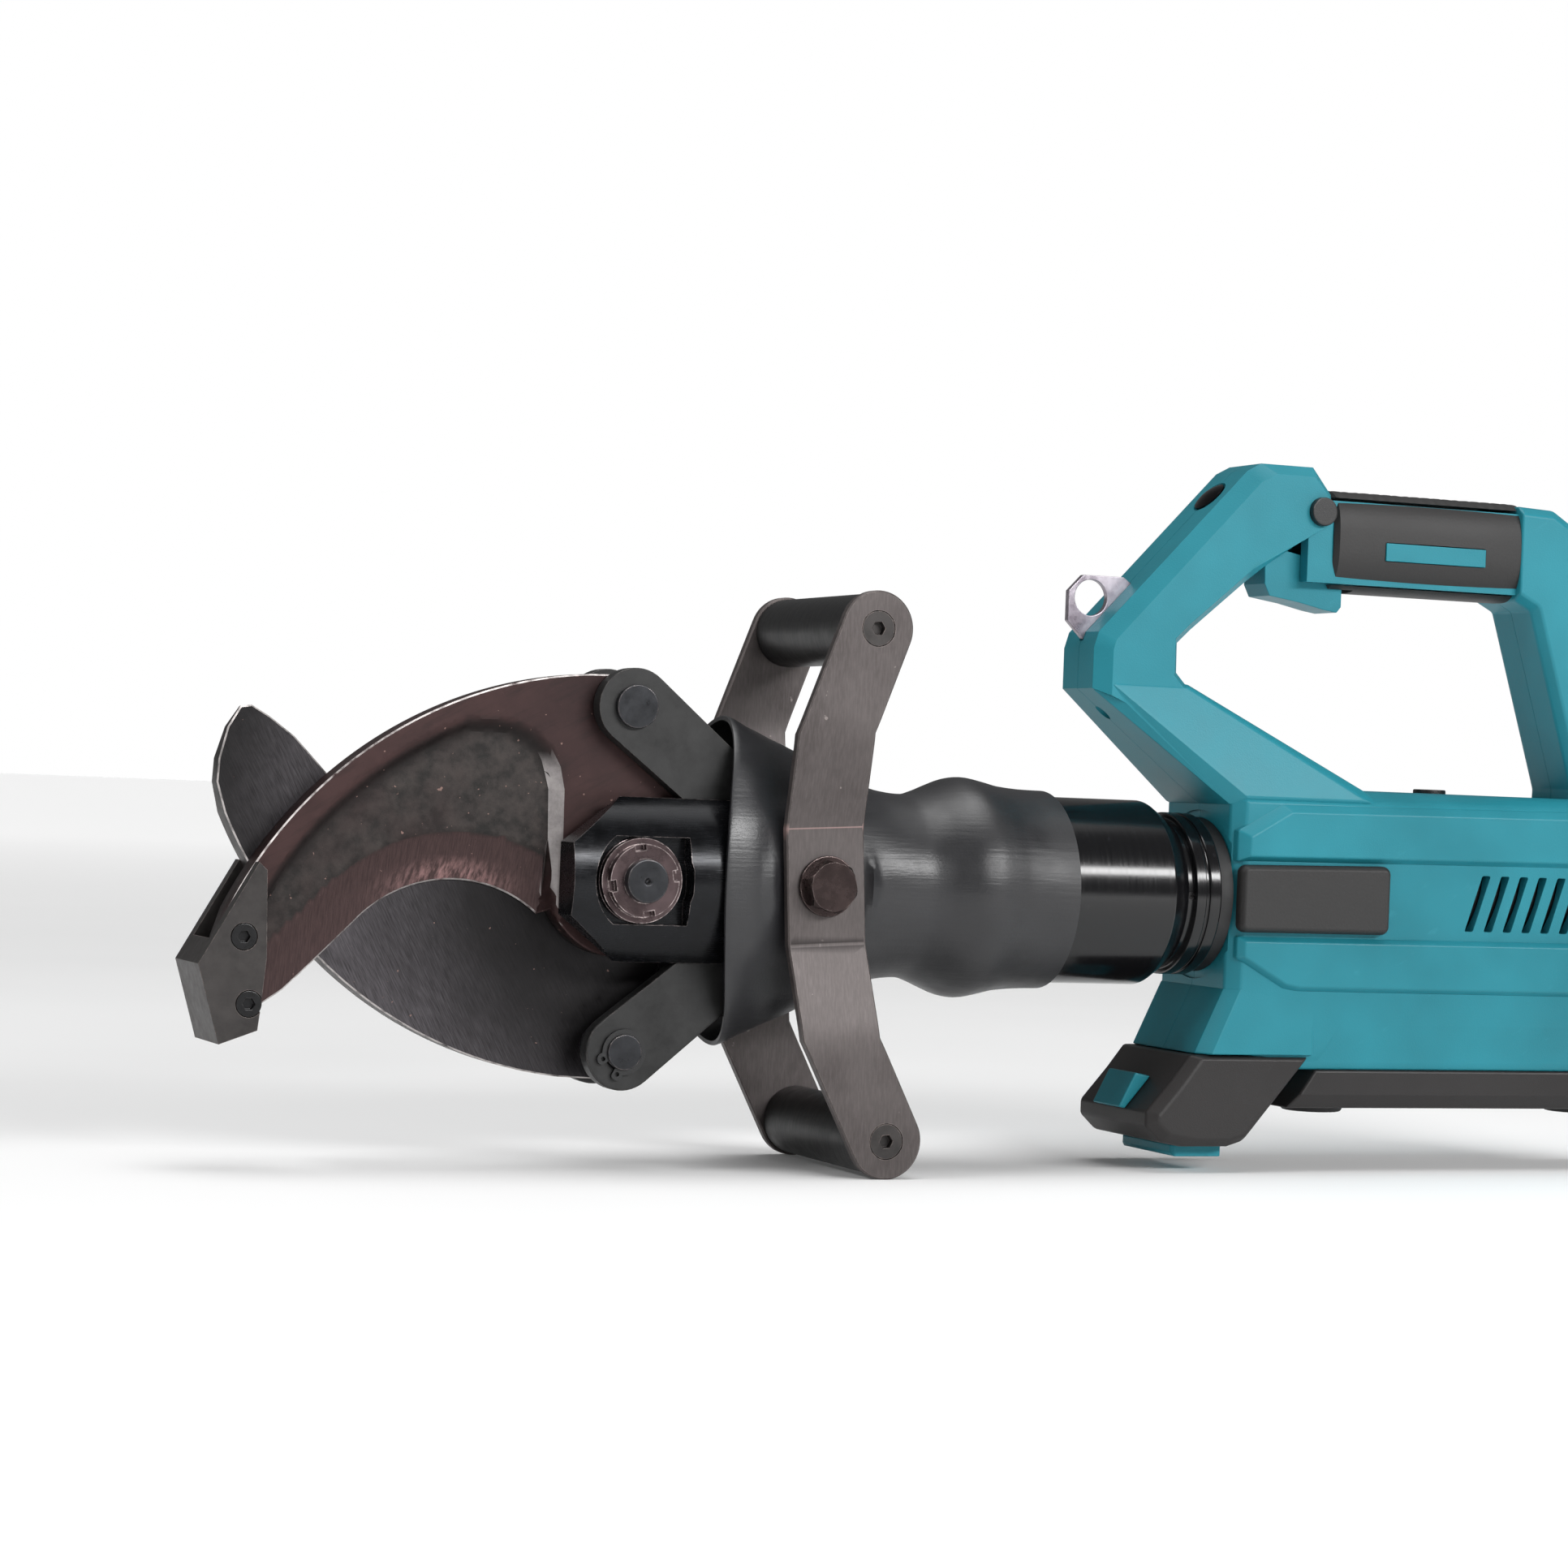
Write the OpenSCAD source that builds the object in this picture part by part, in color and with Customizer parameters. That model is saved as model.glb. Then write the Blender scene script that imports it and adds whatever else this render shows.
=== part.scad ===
// Cordless hydraulic cable cutter: scissor jaws on a forked head, a ram with toggle links,
// a rubber boot, a two-bar guard, and a D-handle housing with a slide-on battery.
// Built in a working frame with its origin where the guard bolts cross the ram axis:
// +X runs back to the housing, -X to the jaws, +Z up. place() moves it to the part frame.

/* [Jaws] */
// Distance from the guard bolts forward to the jaw pivot
pivot_x = 75; // [74:0.5:76]
// Thickness of one jaw
jaw_t = 12; // [11:0.5:12]
// Radius of the jaw's outer back
back_r = 170; // [169:0.5:171]
// Radius of the curved cutting edge
edge_r = 53.5; // [53:0.25:54.5]
// Pivot to link pin
pin_arm = 67.5; // [67:0.25:68]
// Extra closing turn of the lower jaw, degrees
bite = 1.8; // [0:0.2:2]
// Depth of the milled pocket
pocket_d = 3.5; // [2:0.5:4]

/* [Head] */
// Radius of the head where it is turned down under the boot
yoke_r = 33; // [32.5:0.25:33]
// Half width of the slot in the fork
slot_w = 21; // [20.8:0.1:21.5]
// Outer radius of the ram cylinder
cyl_r = 38.5; // [38:0.25:39]
// Bore radius of the ram cylinder
bore_r = 30.05; // [29.5:0.05:30.5]
// Ram rod radius
rod_r = 11; // [10:0.5:12]
// Crosshead pins to the ram axis
cross_z = 17; // [16.5:0.25:17.5]
// Link length between its pins
link_l = 80.4; // [80:0.1:80.8]

/* [Guard] */
// Overall width over the guard plates
guard_w = 97.6; // [96:0.4:100]
// Grip bar axis above and below the ram axis
bar_z = 101; // [98:1:104]
// Grip bar axis behind the guard bolts
bar_x = 20.4; // [18:0.4:22]
// Grip bar radius
bar_r = 14; // [13:0.5:14.5]
// Forward lean of the guard, degrees
guard_lean = 3.33; // [0:0.01:4]
// Guard plate thickness
plate_t = 4.5; // [4:0.5:5]

/* [Housing] */
// Front face of the housing behind the guard bolts
front_x = 187; // [186:0.5:188]
// Rear end of the housing
rear_x = 420; // [416:1:440]
// Half width of the motor housing
body_w = 32; // [32:0.5:34]
// Half width of the handle
handle_w = 19; // [18:0.5:20]
// Top of the D-handle
top_z = 182; // [180:0.5:184]
// Shell wall thickness
wall = 3; // [2.5:0.5:3]

/* [Battery] */
// Half width of the battery
bat_w = 33; // [31:0.5:33]
// Underside of the battery foot
bat_z = -108.5; // [-110:0.5:-107]

/* [Hidden] */
$fn = 72;
gap = 0.05;
jaw_y = jaw_t + gap;
back_c = [-5, -90];
edge_c = [-66, -56];
boss_r = 31;
tail_r = 12.5;
pivot_r = 12;
link_in = jaw_y + 0.45;
link_out = slot_w - 1;
link_pin_r = 7;
cross_pin_r = 6;
cross_slack = 3.6;
cross_x = -pivot_x + sqrt(link_l * link_l - pow(pin_arm - cross_z, 2));
slot_end = 58;
fork_end = -33;
nose_x = -pivot_x - 29.3;
nose_l = 24.3;
recess_z = 17.1;
tube_x = 60;
gland_x = 74;
piston_x = [cross_x + 104.6, cross_x + 117.6];
nut_y = 29.5;
spot_y = 31.5;
spot_r = 9.6;
lock_x = 167.8;
guard_y = guard_w / 2;
mid_y = 40.5;
fold_z = [23, 60];
guard_x = [16.5, 2.3];
arm_end_r = 15;
link_a = atan2(pin_arm - cross_z, cross_x + pivot_x);
front_w = body_w - 4;
seal_x = 181.3;
rail_z = -65.5;
body_top = 45;
body_low = -71.5;
skid_z = -88;
bore_body = body_w - wall;
guide_r = 166.5;
part_x = [-pivot_x - 169.8, rear_x];
part_z = [-bar_z * cos(guard_lean) + bar_x * sin(guard_lean) - arm_end_r, top_z];

// ---------------------------------------------------------------- helpers

function arc(c, r, a0, a1, n) =
    [for (i = [0:n]) let (a = a0 + (a1 - a0) * i / n) [c[0] + r * cos(a), c[1] + r * sin(a)]];
function turn(a, pts) =
    [for (p = pts) [p[0] * cos(a) - p[1] * sin(a), p[0] * sin(a) + p[1] * cos(a)]];
function flip_z(pts) = [for (i = [len(pts) - 1:-1:0]) [pts[i][0], -pts[i][1]]];

// Moves the working frame to the part frame: middle of the length, underside at zero
module place() {
    translate([-(part_x[0] + part_x[1]) / 2, 0, -part_z[0]]) children();
}

// Outline in the XZ plane, thick from y0 to y1
module plate(pts, y0, y1) {
    translate([0, y1, 0]) rotate([90, 0, 0]) linear_extrude(y1 - y0) polygon(pts);
}

// Outline in the XY plane, thick from z0 to z1
module plan(pts, z0, z1) {
    translate([0, 0, z0]) linear_extrude(z1 - z0) polygon(pts);
}

// Outline in the YZ plane, thick from x0 to x1
module section(pts, x0, x1) {
    translate([x0, 0, 0]) rotate([90, 0, 90]) linear_extrude(x1 - x0) polygon(pts);
}

module rod_y(r, y0, y1, x = 0, z = 0) {
    translate([x, y1, z]) rotate([90, 0, 0]) cylinder(r = r, h = y1 - y0);
}

module rod_x(r, x0, x1, y = 0, z = 0) {
    translate([x0, y, z]) rotate([0, 90, 0]) cylinder(r = r, h = x1 - x0);
}

module box(lo, hi) {
    translate(lo) cube(hi - lo);
}

// Turned shape about the ram axis, from [x, radius] points
module turned(pts) {
    rotate([0, 90, 0]) rotate_extrude() polygon([for (p = pts) [p[1], p[0]]]);
}

module both_sides() {
    children();
    mirror([0, 1, 0]) children();
}

module both_ends() {
    children();
    mirror([0, 0, 1]) children();
}

// ---------------------------------------------------------------- jaws

// Jaw outline about the pivot, jaw pointing to -X with its pin arm up
function jaw_outline(extra) = concat(
    turn(extra, concat(
        [[-150.1, -57.2], [-154.5, -56.4], [-158.9, -48.2], [-161.5, -36], [-161.7, -27]],
        arc(back_c, back_r, 154, 94, 20))),
    arc([0, pin_arm], tail_r, 95, -15, 11),
    arc([0, 0], boss_r, 12, -155, 20),
    turn(extra, concat(
        arc(edge_c, edge_r, 50, 138, 18),
        [[-122.1, -36.4], [-132.5, -46.4], [-142.7, -53.3]])));

// Area milled lower than the rim of the jaw
function pocket_outline() = concat(
    arc(back_c, back_r - 8, 149, 112, 12),
    [[-55, 60.6], [-46, 59.6], [-38, 56], [-31.5, 50], [-27.5, 43], [-25.5, 34]],
    [[-25, -20], [-60, -60], [-150, -90], [-143, -30]]);

// One jaw on the -Y side; the bevel leaves the cutting edge on the inner face
module jaw(extra) {
    land = 1.5;
    bevel_w = 19;
    lead = 2;
    floor_y = -jaw_y + pocket_d;
    slope = (-gap - land - floor_y) / bevel_w;
    deep_y = gap + land - lead * slope;
    shallow_y = jaw_y + 1;
    difference() {
        plate(jaw_outline(extra), -jaw_y, -gap);
        plate(turn(extra, pocket_outline()), -jaw_y - 1, floor_y);
        rotate([0, -extra, 0]) intersection() {
            translate([edge_c[0], 0, edge_c[1]]) rotate([90, 0, 0]) rotate_extrude()
                polygon([[30, deep_y], [edge_r - lead, deep_y],
                    [edge_r - lead + (shallow_y - deep_y) / slope, shallow_y], [30, shallow_y]]);
            box([-112, -jaw_y - 2, -36], [-26.5, 1, 40]);
        }
        rod_y(pivot_r + 0.06, -jaw_y - 1, 1);
        rod_y(link_pin_r + gap, -jaw_y - 1, 1, 0, pin_arm);
    }
}

guide_holes = [[-152.5, -25.6], [-149.7, -50.9]];

module upper_jaw() {
    color([0.28, 0.22, 0.21]) translate([-pivot_x, 0, 0]) difference() {
        jaw(0);
        for (h = guide_holes)
            rod_y(3.05, -jaw_y - 1, 1, h[0], h[1]);
    }
}

module lower_jaw() {
    color([0.3, 0.29, 0.3]) translate([-pivot_x, 0, 0]) rotate([180, 0, 0]) jaw(bite);
}

// U bracket on the upper jaw's tip; the lower jaw's tip runs inside it
module blade_guide() {
    cheek_y = jaw_y + 6;
    outline = [[-147.7, 2.6], [-144.5, -0.4], [-143.5, -33.4], [-145.2, -53],
        [-146.1, -60.9], [-160.9, -66.3], [-169.8, -36]];
    color([0.27, 0.26, 0.26]) translate([-pivot_x, 0, 0]) difference() {
        plate(outline, -cheek_y, cheek_y);
        rod_y(guide_r, -jaw_y - gap, jaw_y + 0.2);
        for (h = guide_holes) {
            rod_y(3.1, -cheek_y - 1, -jaw_y, h[0], h[1]);
            rod_y(5.2, -cheek_y - 1, -cheek_y + 3.6, h[0], h[1]);
        }
    }
}

// Socket cap screw pointing to +Y, its head's outer face at y
module socket_screw(y, head_r, head_l, shank_r, length, hex_r) {
    difference() {
        union() {
            rod_y(head_r, y, y + head_l);
            rod_y(shank_r, y, y + length);
        }
        translate([0, y + head_l * 0.6, 0]) rotate([90, 0, 0])
            cylinder(r = hex_r, h = head_l, $fn = 6);
    }
}

module guide_screws() {
    color([0.14, 0.14, 0.15])
        for (h = guide_holes)
            translate([h[0] - pivot_x, 0, h[1]])
                socket_screw(-jaw_y - 5.9, 5, 3.4, 3, jaw_y + 5.5, 2.4);
}

// ---------------------------------------------------------------- toggle links

// Upper pair of link plates, pivot end above the fork, rear end at the crosshead
module link_pair() {
    wide_r = 15.2;
    narrow_r = 13.5;
    taper = asin((wide_r - narrow_r) / link_l);
    outline = concat(
        arc([0, 0], wide_r, 90 - taper, 270 + taper, 24),
        arc([link_l, 0], narrow_r, -90 + taper, 90 - taper, 20));
    translate([-pivot_x, 0, pin_arm]) rotate([0, link_a, 0])
        both_sides() difference() {
            plate(outline, -link_out, -link_in);
            rod_y(link_pin_r + 0.06, -link_out - 1, 0);
            rod_y(cross_pin_r + cross_slack, -link_out - 1, 0, link_l, 0);
        }
}

module upper_links() {
    color([0.24, 0.24, 0.25]) link_pair();
}

module lower_links() {
    color([0.24, 0.24, 0.25]) mirror([0, 0, 1]) link_pair();
}

// Headed pin with a circlip groove; the head is on the -Y side
module link_pin() {
    head_l = 2.4;
    tail = link_out + 2.6;
    difference() {
        union() {
            rod_y(8.5, -link_out - gap - head_l, -link_out - gap);
            rod_y(link_pin_r, -link_out - gap, tail);
        }
        difference() {
            rod_y(9, link_out + 0.2, link_out + 1.6);
            rod_y(link_pin_r - 0.8, link_out, link_out + 2);
        }
    }
}

// Open ring with two eared ends, for the groove of a link pin
module circlip() {
    inner = link_pin_r - 0.7;
    outer = link_pin_r + 2;
    ear_a = 28;
    y0 = link_out + 0.3;
    y1 = link_out + 1.5;
    difference() {
        union() {
            rod_y(outer, y0, y1);
            for (a = [-ear_a, ear_a])
                rod_y(2.4, y0, y1, outer * cos(-135 + a), outer * sin(-135 + a));
        }
        rod_y(inner, y0 - 1, y1 + 1);
        plate([[0, 0], 14 * [cos(-151), sin(-151)], 14 * [cos(-119), sin(-119)]], y0 - 1, y1 + 1);
        for (a = [-ear_a, ear_a])
            rod_y(0.9, y0 - 1, y1 + 1, outer * cos(-135 + a), outer * sin(-135 + a));
    }
}

module pin_spacer() {
    difference() {
        rod_y(11, 0, link_in - gap);
        rod_y(link_pin_r + 0.1, -1, link_in);
    }
}

module at_upper_pin() {
    translate([-pivot_x, 0, pin_arm]) children();
}

module at_lower_pin() {
    translate([-pivot_x, 0, -pin_arm]) mirror([0, 1, 0]) children();
}

module upper_link_pin() {
    color([0.3, 0.3, 0.31]) at_upper_pin() link_pin();
}

module lower_link_pin() {
    color([0.3, 0.3, 0.31]) at_lower_pin() link_pin();
}

module upper_circlip() {
    color([0.15, 0.15, 0.15]) at_upper_pin() circlip();
}

module lower_circlip() {
    color([0.15, 0.15, 0.15]) at_lower_pin() circlip();
}

module upper_pin_spacer() {
    color([0.35, 0.35, 0.36]) at_upper_pin() pin_spacer();
}

module lower_pin_spacer() {
    color([0.35, 0.35, 0.36]) at_lower_pin() pin_spacer();
}

// ---------------------------------------------------------------- forked head

// Full-width fork in front, turned down to yoke_r behind fork_end
module yoke() {
    outline = [[nose_x, -14], [nose_x, 14], [nose_x + nose_l, yoke_r], [nose_x + nose_l, cyl_r + 1],
        [fork_end, cyl_r + 1], [fork_end, -cyl_r - 1], [nose_x + nose_l, -cyl_r - 1],
        [nose_x + nose_l, -yoke_r]];
    color([0.13, 0.13, 0.15]) difference() {
        union() {
            intersection() {
                rod_x(cyl_r, nose_x, fork_end);
                plate(outline, -cyl_r - 1, cyl_r + 1);
            }
            rod_x(yoke_r, fork_end - 1, tube_x - gap);
            rod_x(bore_r - gap, tube_x - gap, gland_x);
        }
        box([nose_x - 1, -slot_w, -cyl_r - 2], [slot_end, slot_w, cyl_r + 2]);
        rod_x(rod_r + 0.06, slot_end - 1, gland_x + 1);
        rod_x(rod_r + 3, gland_x - 5, gland_x + 1);
        both_sides() {
            rod_y(pivot_r + gap, -cyl_r - 1, 0, -pivot_x);
            rod_y(6.05, -yoke_r - 1, 0);
            rod_y(spot_r, -yoke_r - 1, -spot_y);
            nut_recess();
        }
    }
}

// Recess for the pivot nut, round in front and square behind
module nut_recess() {
    intersection() {
        union() {
            rod_y(20.5, -cyl_r - 1, -nut_y, -pivot_x);
            box([-pivot_x, -cyl_r - 1, -20], [-pivot_x + 19, -nut_y, 20]);
        }
        box([-pivot_x - 21, -cyl_r - 2, -recess_z], [-pivot_x + 20, 0, recess_z]);
    }
}

module pivot_pin() {
    color([0.3, 0.29, 0.29]) translate([-pivot_x, 0, 0]) difference() {
        union() {
            rod_y(8.5, -41, 0);
            rod_y(pivot_r, -nut_y, nut_y);
            rod_y(16, nut_y, nut_y + 6.5);
        }
        translate([0, -38.9, 0]) rotate([90, 0, 0]) cylinder(r1 = 0, r2 = 1.4, h = 2.2, $fn = 24);
    }
}

module pivot_washer() {
    color([0.33, 0.3, 0.3]) translate([-pivot_x, 0, 0]) difference() {
        rod_y(16.9, -nut_y - 1.6, -nut_y);
        rod_y(8.6, -nut_y - 3, 0);
    }
}

// Lock nut with a wide flange and four slots in its hub
module pivot_nut() {
    face = -nut_y - 1.6;
    flange_t = 3;
    color([0.38, 0.33, 0.33]) translate([-pivot_x, 0, 0]) difference() {
        union() {
            rod_y(16.6, face - flange_t, face);
            rod_y(14.2, face - 6.4, face);
        }
        rod_y(8.55, face - 8, 0);
        for (a = [-10:90:260])
            rotate([0, a, 0]) box([11.8, face - 8, -2.2], [18, face - flange_t - 0.4, 2.2]);
    }
}

module pivot_spacers() {
    spacer_r = 20;
    color([0.2, 0.2, 0.21]) translate([-pivot_x, 0, 0]) both_sides() difference() {
        rod_y(spacer_r, -slot_w + 0.1, -jaw_y - 0.1);
        rod_y(pivot_r + 0.1, -slot_w - 1, 0);
    }
}

module crosshead() {
    half_y = link_in - 0.2;
    color([0.4, 0.4, 0.42]) difference() {
        box([cross_x - 12, -half_y, -29], [cross_x + 14, half_y, 29]);
        both_ends() rod_y(cross_pin_r + gap, -half_y - 1, half_y + 1, cross_x, cross_z);
        rod_x(8.05, cross_x + 2, cross_x + 15);
    }
}

module crosshead_pins() {
    color([0.5, 0.5, 0.52]) both_ends()
        rod_y(cross_pin_r, -slot_w + 0.5, slot_w - 0.5, cross_x, cross_z);
}

module piston_rod() {
    color([0.65, 0.66, 0.68]) union() {
        rod_x(8, cross_x + 3, cross_x + 14 + gap);
        rod_x(rod_r, cross_x + 14 + gap, piston_x[0] - gap);
        rod_x(8, piston_x[0] - gap, piston_x[1]);
    }
}

seal_w = 3.5;

module piston() {
    groove = (piston_x[0] + piston_x[1] - seal_w) / 2;
    color([0.55, 0.56, 0.58]) difference() {
        rod_x(bore_r - 0.08, piston_x[0], piston_x[1]);
        rod_x(8.05, piston_x[0] - 1, piston_x[1] + 1);
        difference() {
            rod_x(bore_r + 1, groove, groove + seal_w);
            rod_x(bore_r - 3.5, groove - 1, groove + seal_w + 1);
        }
    }
}

module piston_seal() {
    groove = (piston_x[0] + piston_x[1] - seal_w) / 2;
    color([0.1, 0.1, 0.1]) difference() {
        rod_x(bore_r - 0.04, groove + gap, groove + seal_w - gap);
        rod_x(bore_r - 3.45, groove - 1, groove + seal_w + 1);
    }
}

module gland_seal() {
    color([0.1, 0.1, 0.1]) difference() {
        rod_x(rod_r + 2.9, gland_x - 4.9, gland_x - 0.1);
        rod_x(rod_r + 0.06, gland_x - 6, gland_x);
    }
}

// Closed tube swept along a helix about the ram axis
module return_spring() {
    turns = 5;
    wire_r = 1.35;
    coil_r = 19;
    sides = 8;
    rings = turns * 16;
    x0 = gland_x + wire_r + 0.2;
    x1 = piston_x[0] - wire_r - 0.2;
    points = [for (i = [0:rings]) let (a = 360 * turns * i / rings)
        for (s = [0:sides - 1]) let (b = 360 * s / sides, r = coil_r + wire_r * cos(b))
            [x0 + (x1 - x0) * i / rings + wire_r * sin(b), r * cos(a), r * sin(a)]];
    skin = [for (i = [0:rings - 1]) for (s = [0:sides - 1]) let (t = (s + 1) % sides)
        [i * sides + s, i * sides + t, (i + 1) * sides + t, (i + 1) * sides + s]];
    caps = [[for (s = [sides - 1:-1:0]) s], [for (s = [0:sides - 1]) rings * sides + s]];
    color([0.45, 0.45, 0.47]) polyhedron(points, concat(skin, caps));
}

neck_r = 21;
chamber_end = 159.5;

module ram_cylinder() {
    rear = front_x - 6;
    color([0.06, 0.06, 0.07]) difference() {
        turned([[tube_x, 0], [tube_x, cyl_r - 0.8], [tube_x + 0.8, cyl_r], [157, cyl_r],
            [166, 32.5], [166.6, 31.5], [169, 31.5], [169.3, 33.4], [170, 34], [173.6, 34],
            [174.2, 33], [175.4, 33], [176, 34], [rear - 0.7, 34], [rear, 33.3],
            [rear, neck_r], [front_x + 7.1, neck_r], [front_x + 7.1, 25],
            [front_x + 11.9, 25], [front_x + 11.9, 12], [front_x + 24, 12],
            [front_x + 24, 0]]);
        rod_x(bore_r, tube_x - 1, chamber_end);
        rod_x(3, chamber_end - 1, front_x + 25);
        rod_y(1.55, -cyl_r, -27.5, lock_x);
    }
}

module lock_screw() {
    color([0.3, 0.3, 0.32]) translate([lock_x, 0, 0])
        socket_screw(-31.2, 1.5, 1, 1.5, 3.6, 0.7);
}

// Stations of the boot: [x, half width, half height, forward bow of its sides]
boot = [[-30, 41.6, 66, 12], [-22, 40.8, 62.3, 9], [-12, 35.8, 58, 5], [0, 35.8, 53, 0],
    [12, 35.8, 47.5, 0], [24, 35.8, 42.2, 0], [36, 36, 38.4, 0], [49, 36.8, 36.8, 0],
    [56, 39.4, 39.4, 0], [63, 42.3, 42.3, 0], [69, 44.6, 44.6, 0], [75, 45.2, 45.2, 0],
    [82, 44, 44, 0], [90, 42, 42, 0], [100, 41, 41, 0], [112, 40.9, 40.9, 0]];

// One closed skin: outer rings front to back, then inner rings back to front
module rubber_boot() {
    sides = 48;
    skin_t = 2.1;
    last = len(boot) - 1;
    rings = concat(
        [for (i = [0:last]) concat(boot[i], [0])],
        [for (i = [last:-1:0]) concat(boot[i], [skin_t])]);
    total = len(rings);
    points = [for (g = rings) for (s = [0:sides - 1])
        let (a = 360 * s / sides, c = cos(a))
        [g[0] - g[3] * c * c, (g[1] - g[4]) * c, (g[2] - g[4]) * sin(a)]];
    faces = [for (i = [0:total - 1]) for (s = [0:sides - 1])
        let (t = (s + 1) % sides, j = (i + 1) % total, p = i * sides, q = j * sides)
        each [[p + s, q + s, q + t], [p + s, q + t, p + t]]];
    color([0.2, 0.2, 0.22]) difference() {
        polyhedron(points, faces);
        rod_y(spot_r + 0.4, -60, 60);
    }
}

// ---------------------------------------------------------------- guard

// Strap outline of one guard plate about the guard bolt
function strap_half() = let (
        lean = atan2(bar_x - guard_x[1], bar_z - fold_z[1]))
    concat([[-guard_x[0], fold_z[0]], [guard_x[1] - guard_x[0], fold_z[1]]],
        arc([bar_x, bar_z], arm_end_r, 180 - lean, -lean, 16),
        [[guard_x[1] + guard_x[0], fold_z[1]], [guard_x[0], fold_z[0]]]);

module guard_plate() {
    end_z = bar_z + 20;
    outer = [[-guard_y, -end_z], [-guard_y, -fold_z[1]], [-mid_y, -fold_z[0]],
        [-mid_y, fold_z[0]], [-guard_y, fold_z[1]], [-guard_y, end_z]];
    strip = concat(outer, [for (i = [len(outer) - 1:-1:0]) outer[i] + [plate_t, 0]]);
    rotate([0, -guard_lean, 0]) difference() {
        intersection() {
            plate(concat(strap_half(), flip_z(strap_half())), -guard_y - 1, 0);
            section(strip, -60, 60);
        }
        rod_y(6.3, -guard_y - 1, 0);
        both_ends() translate([bar_x, -guard_y, bar_z]) rotate([-90, 0, 0]) {
            translate([0, 0, -1]) cylinder(r = 4.3, h = plate_t + 2);
            translate([0, 0, -0.01]) cylinder(r1 = 7.25, r2 = 4.2, h = 3.1);
        }
    }
}

module guard_plate_near() {
    color([0.37, 0.35, 0.34]) guard_plate();
}

module guard_plate_far() {
    color([0.37, 0.35, 0.34]) mirror([0, 1, 0]) guard_plate();
}

module grip_bars() {
    half = guard_y - plate_t;
    color([0.12, 0.12, 0.13]) rotate([0, -guard_lean, 0]) both_ends()
        translate([bar_x, 0, bar_z]) difference() {
            rod_y(bar_r, -half, half);
            both_sides() rod_y(4.05, -half - 1, -half + 20);
        }
}

module grip_screws() {
    color([0.16, 0.16, 0.17]) rotate([0, -guard_lean, 0]) both_ends() both_sides()
        translate([bar_x, -guard_y + 0.1, bar_z]) rotate([-90, 0, 0]) difference() {
            union() {
                cylinder(r1 = 7, r2 = 4, h = 3);
                cylinder(r = 4, h = 20);
            }
            translate([0, 0, -1]) cylinder(r = 2.9, h = 4, $fn = 6);
        }
}

bolt_face = mid_y + 1.9;

module guard_bolts() {
    flat_r = 10.9;
    color([0.3, 0.26, 0.25]) both_sides() union() {
        intersection() {
            translate([0, -bolt_face, 0]) rotate([90, 15, 0]) cylinder(r = flat_r, h = 6.2, $fn = 6);
            translate([0, -bolt_face, 0]) rotate([90, 0, 0]) cylinder(r1 = 14, r2 = 9.6, h = 6.2);
        }
        rod_y(6, -bolt_face, -slot_w - 1);
    }
}

module guard_washers() {
    color([0.33, 0.3, 0.29]) both_sides() difference() {
        rod_y(12, -bolt_face, -mid_y);
        rod_y(6.4, -bolt_face - 1, 0);
    }
}

module guard_bushes() {
    color([0.35, 0.35, 0.36]) both_sides() difference() {
        rod_y(9, -mid_y + plate_t, -spot_y);
        rod_y(6.3, -mid_y, 0);
    }
}

// ---------------------------------------------------------------- housing

// Side outlines of the housing: handle struts, grip core, and motor body
strut_top = [[128, 106], [196, 178], [201, top_z], [228, top_z], [236, 170], [222, 150],
    [205, 138], [198, 132.5], [172, 110]];
strut_knee = [[127.5, 84], [127.5, 105], [128, 106], [172, 110], [166, 104], [166, 92],
    [171, 87.5]];
strut_low = [[127.5, 84], [171, 87.5], [252, 45], [252, 40], [187, 40], [187, 44.5]];
grip_core = [[226, 134], [226, 171], [342, 168], [342, 132]];
strut_rear = [[336, 132], [336, 168], [346, 170], [364, 160], [402, 60], [406, 44], [364, 44],
    [361, 52]];
body_side = [[front_x, body_top], [392, body_top], [412, 36], [rear_x, 20], [rear_x, -46],
    [408, body_low], [228, body_low], [228, rail_z], [174, rail_z], [front_x, -47.5]];
upper_panel = [[190, 26], [209, 37], [398, 37], [405, 28], [405, 20], [396, 16], [190, 16]];
lower_panel = [[190, -16], [396, -16], [405, -20], [405, -30], [398, -38], [220, -38],
    [211, -36.5], [190, -25.5]];

// Half of a strut, from the middle to its side face, with a bevelled edge
module strut_half(pts, bevel) {
    c = [for (k = [0, 1]) (max([for (p = pts) p[k]]) + min([for (p = pts) p[k]])) / 2];
    span = min([for (k = [0, 1]) max([for (p = pts) p[k]]) - min([for (p = pts) p[k]])]);
    s = 1 - 2 * bevel / span;
    hull() {
        plate(pts, -handle_w + bevel, -gap);
        plate([for (p = pts) c + s * (p - c)], -handle_w, -gap);
    }
}

module body_half() {
    low = front_w - 4;
    intersection() {
        plate(body_side, -body_w, -gap);
        plan([[front_x - 20, -front_w], [front_x, -front_w], [front_x + 4, -body_w],
            [rear_x - 12, -body_w], [rear_x, -body_w + 8], [rear_x, 0], [front_x - 20, 0]],
            body_low - 1, body_top + 1);
        section([[0, body_top], [-low, body_top], [-body_w, body_top - 8],
            [-body_w, body_low + 10], [-body_w + 4, body_low], [0, body_low]], 100, rear_x + 1);
    }
    plate(upper_panel, -body_w - 4, -body_w + 1);
    plate(lower_panel, -body_w - 4, -body_w + 1);
}

screw_spots = [[148, 98], [186, 150], [350, 152], [374, 84], [400, 30], [400, -58],
    [233, -58], [199, 38]];
lamp_at = [186.3, 167.6];
trigger_pivot = [213, 150];
trigger_r = 6;
lock_at = [230, 163];
release_at = [300, body_top];
tongue_x = [178, 215];

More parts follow.
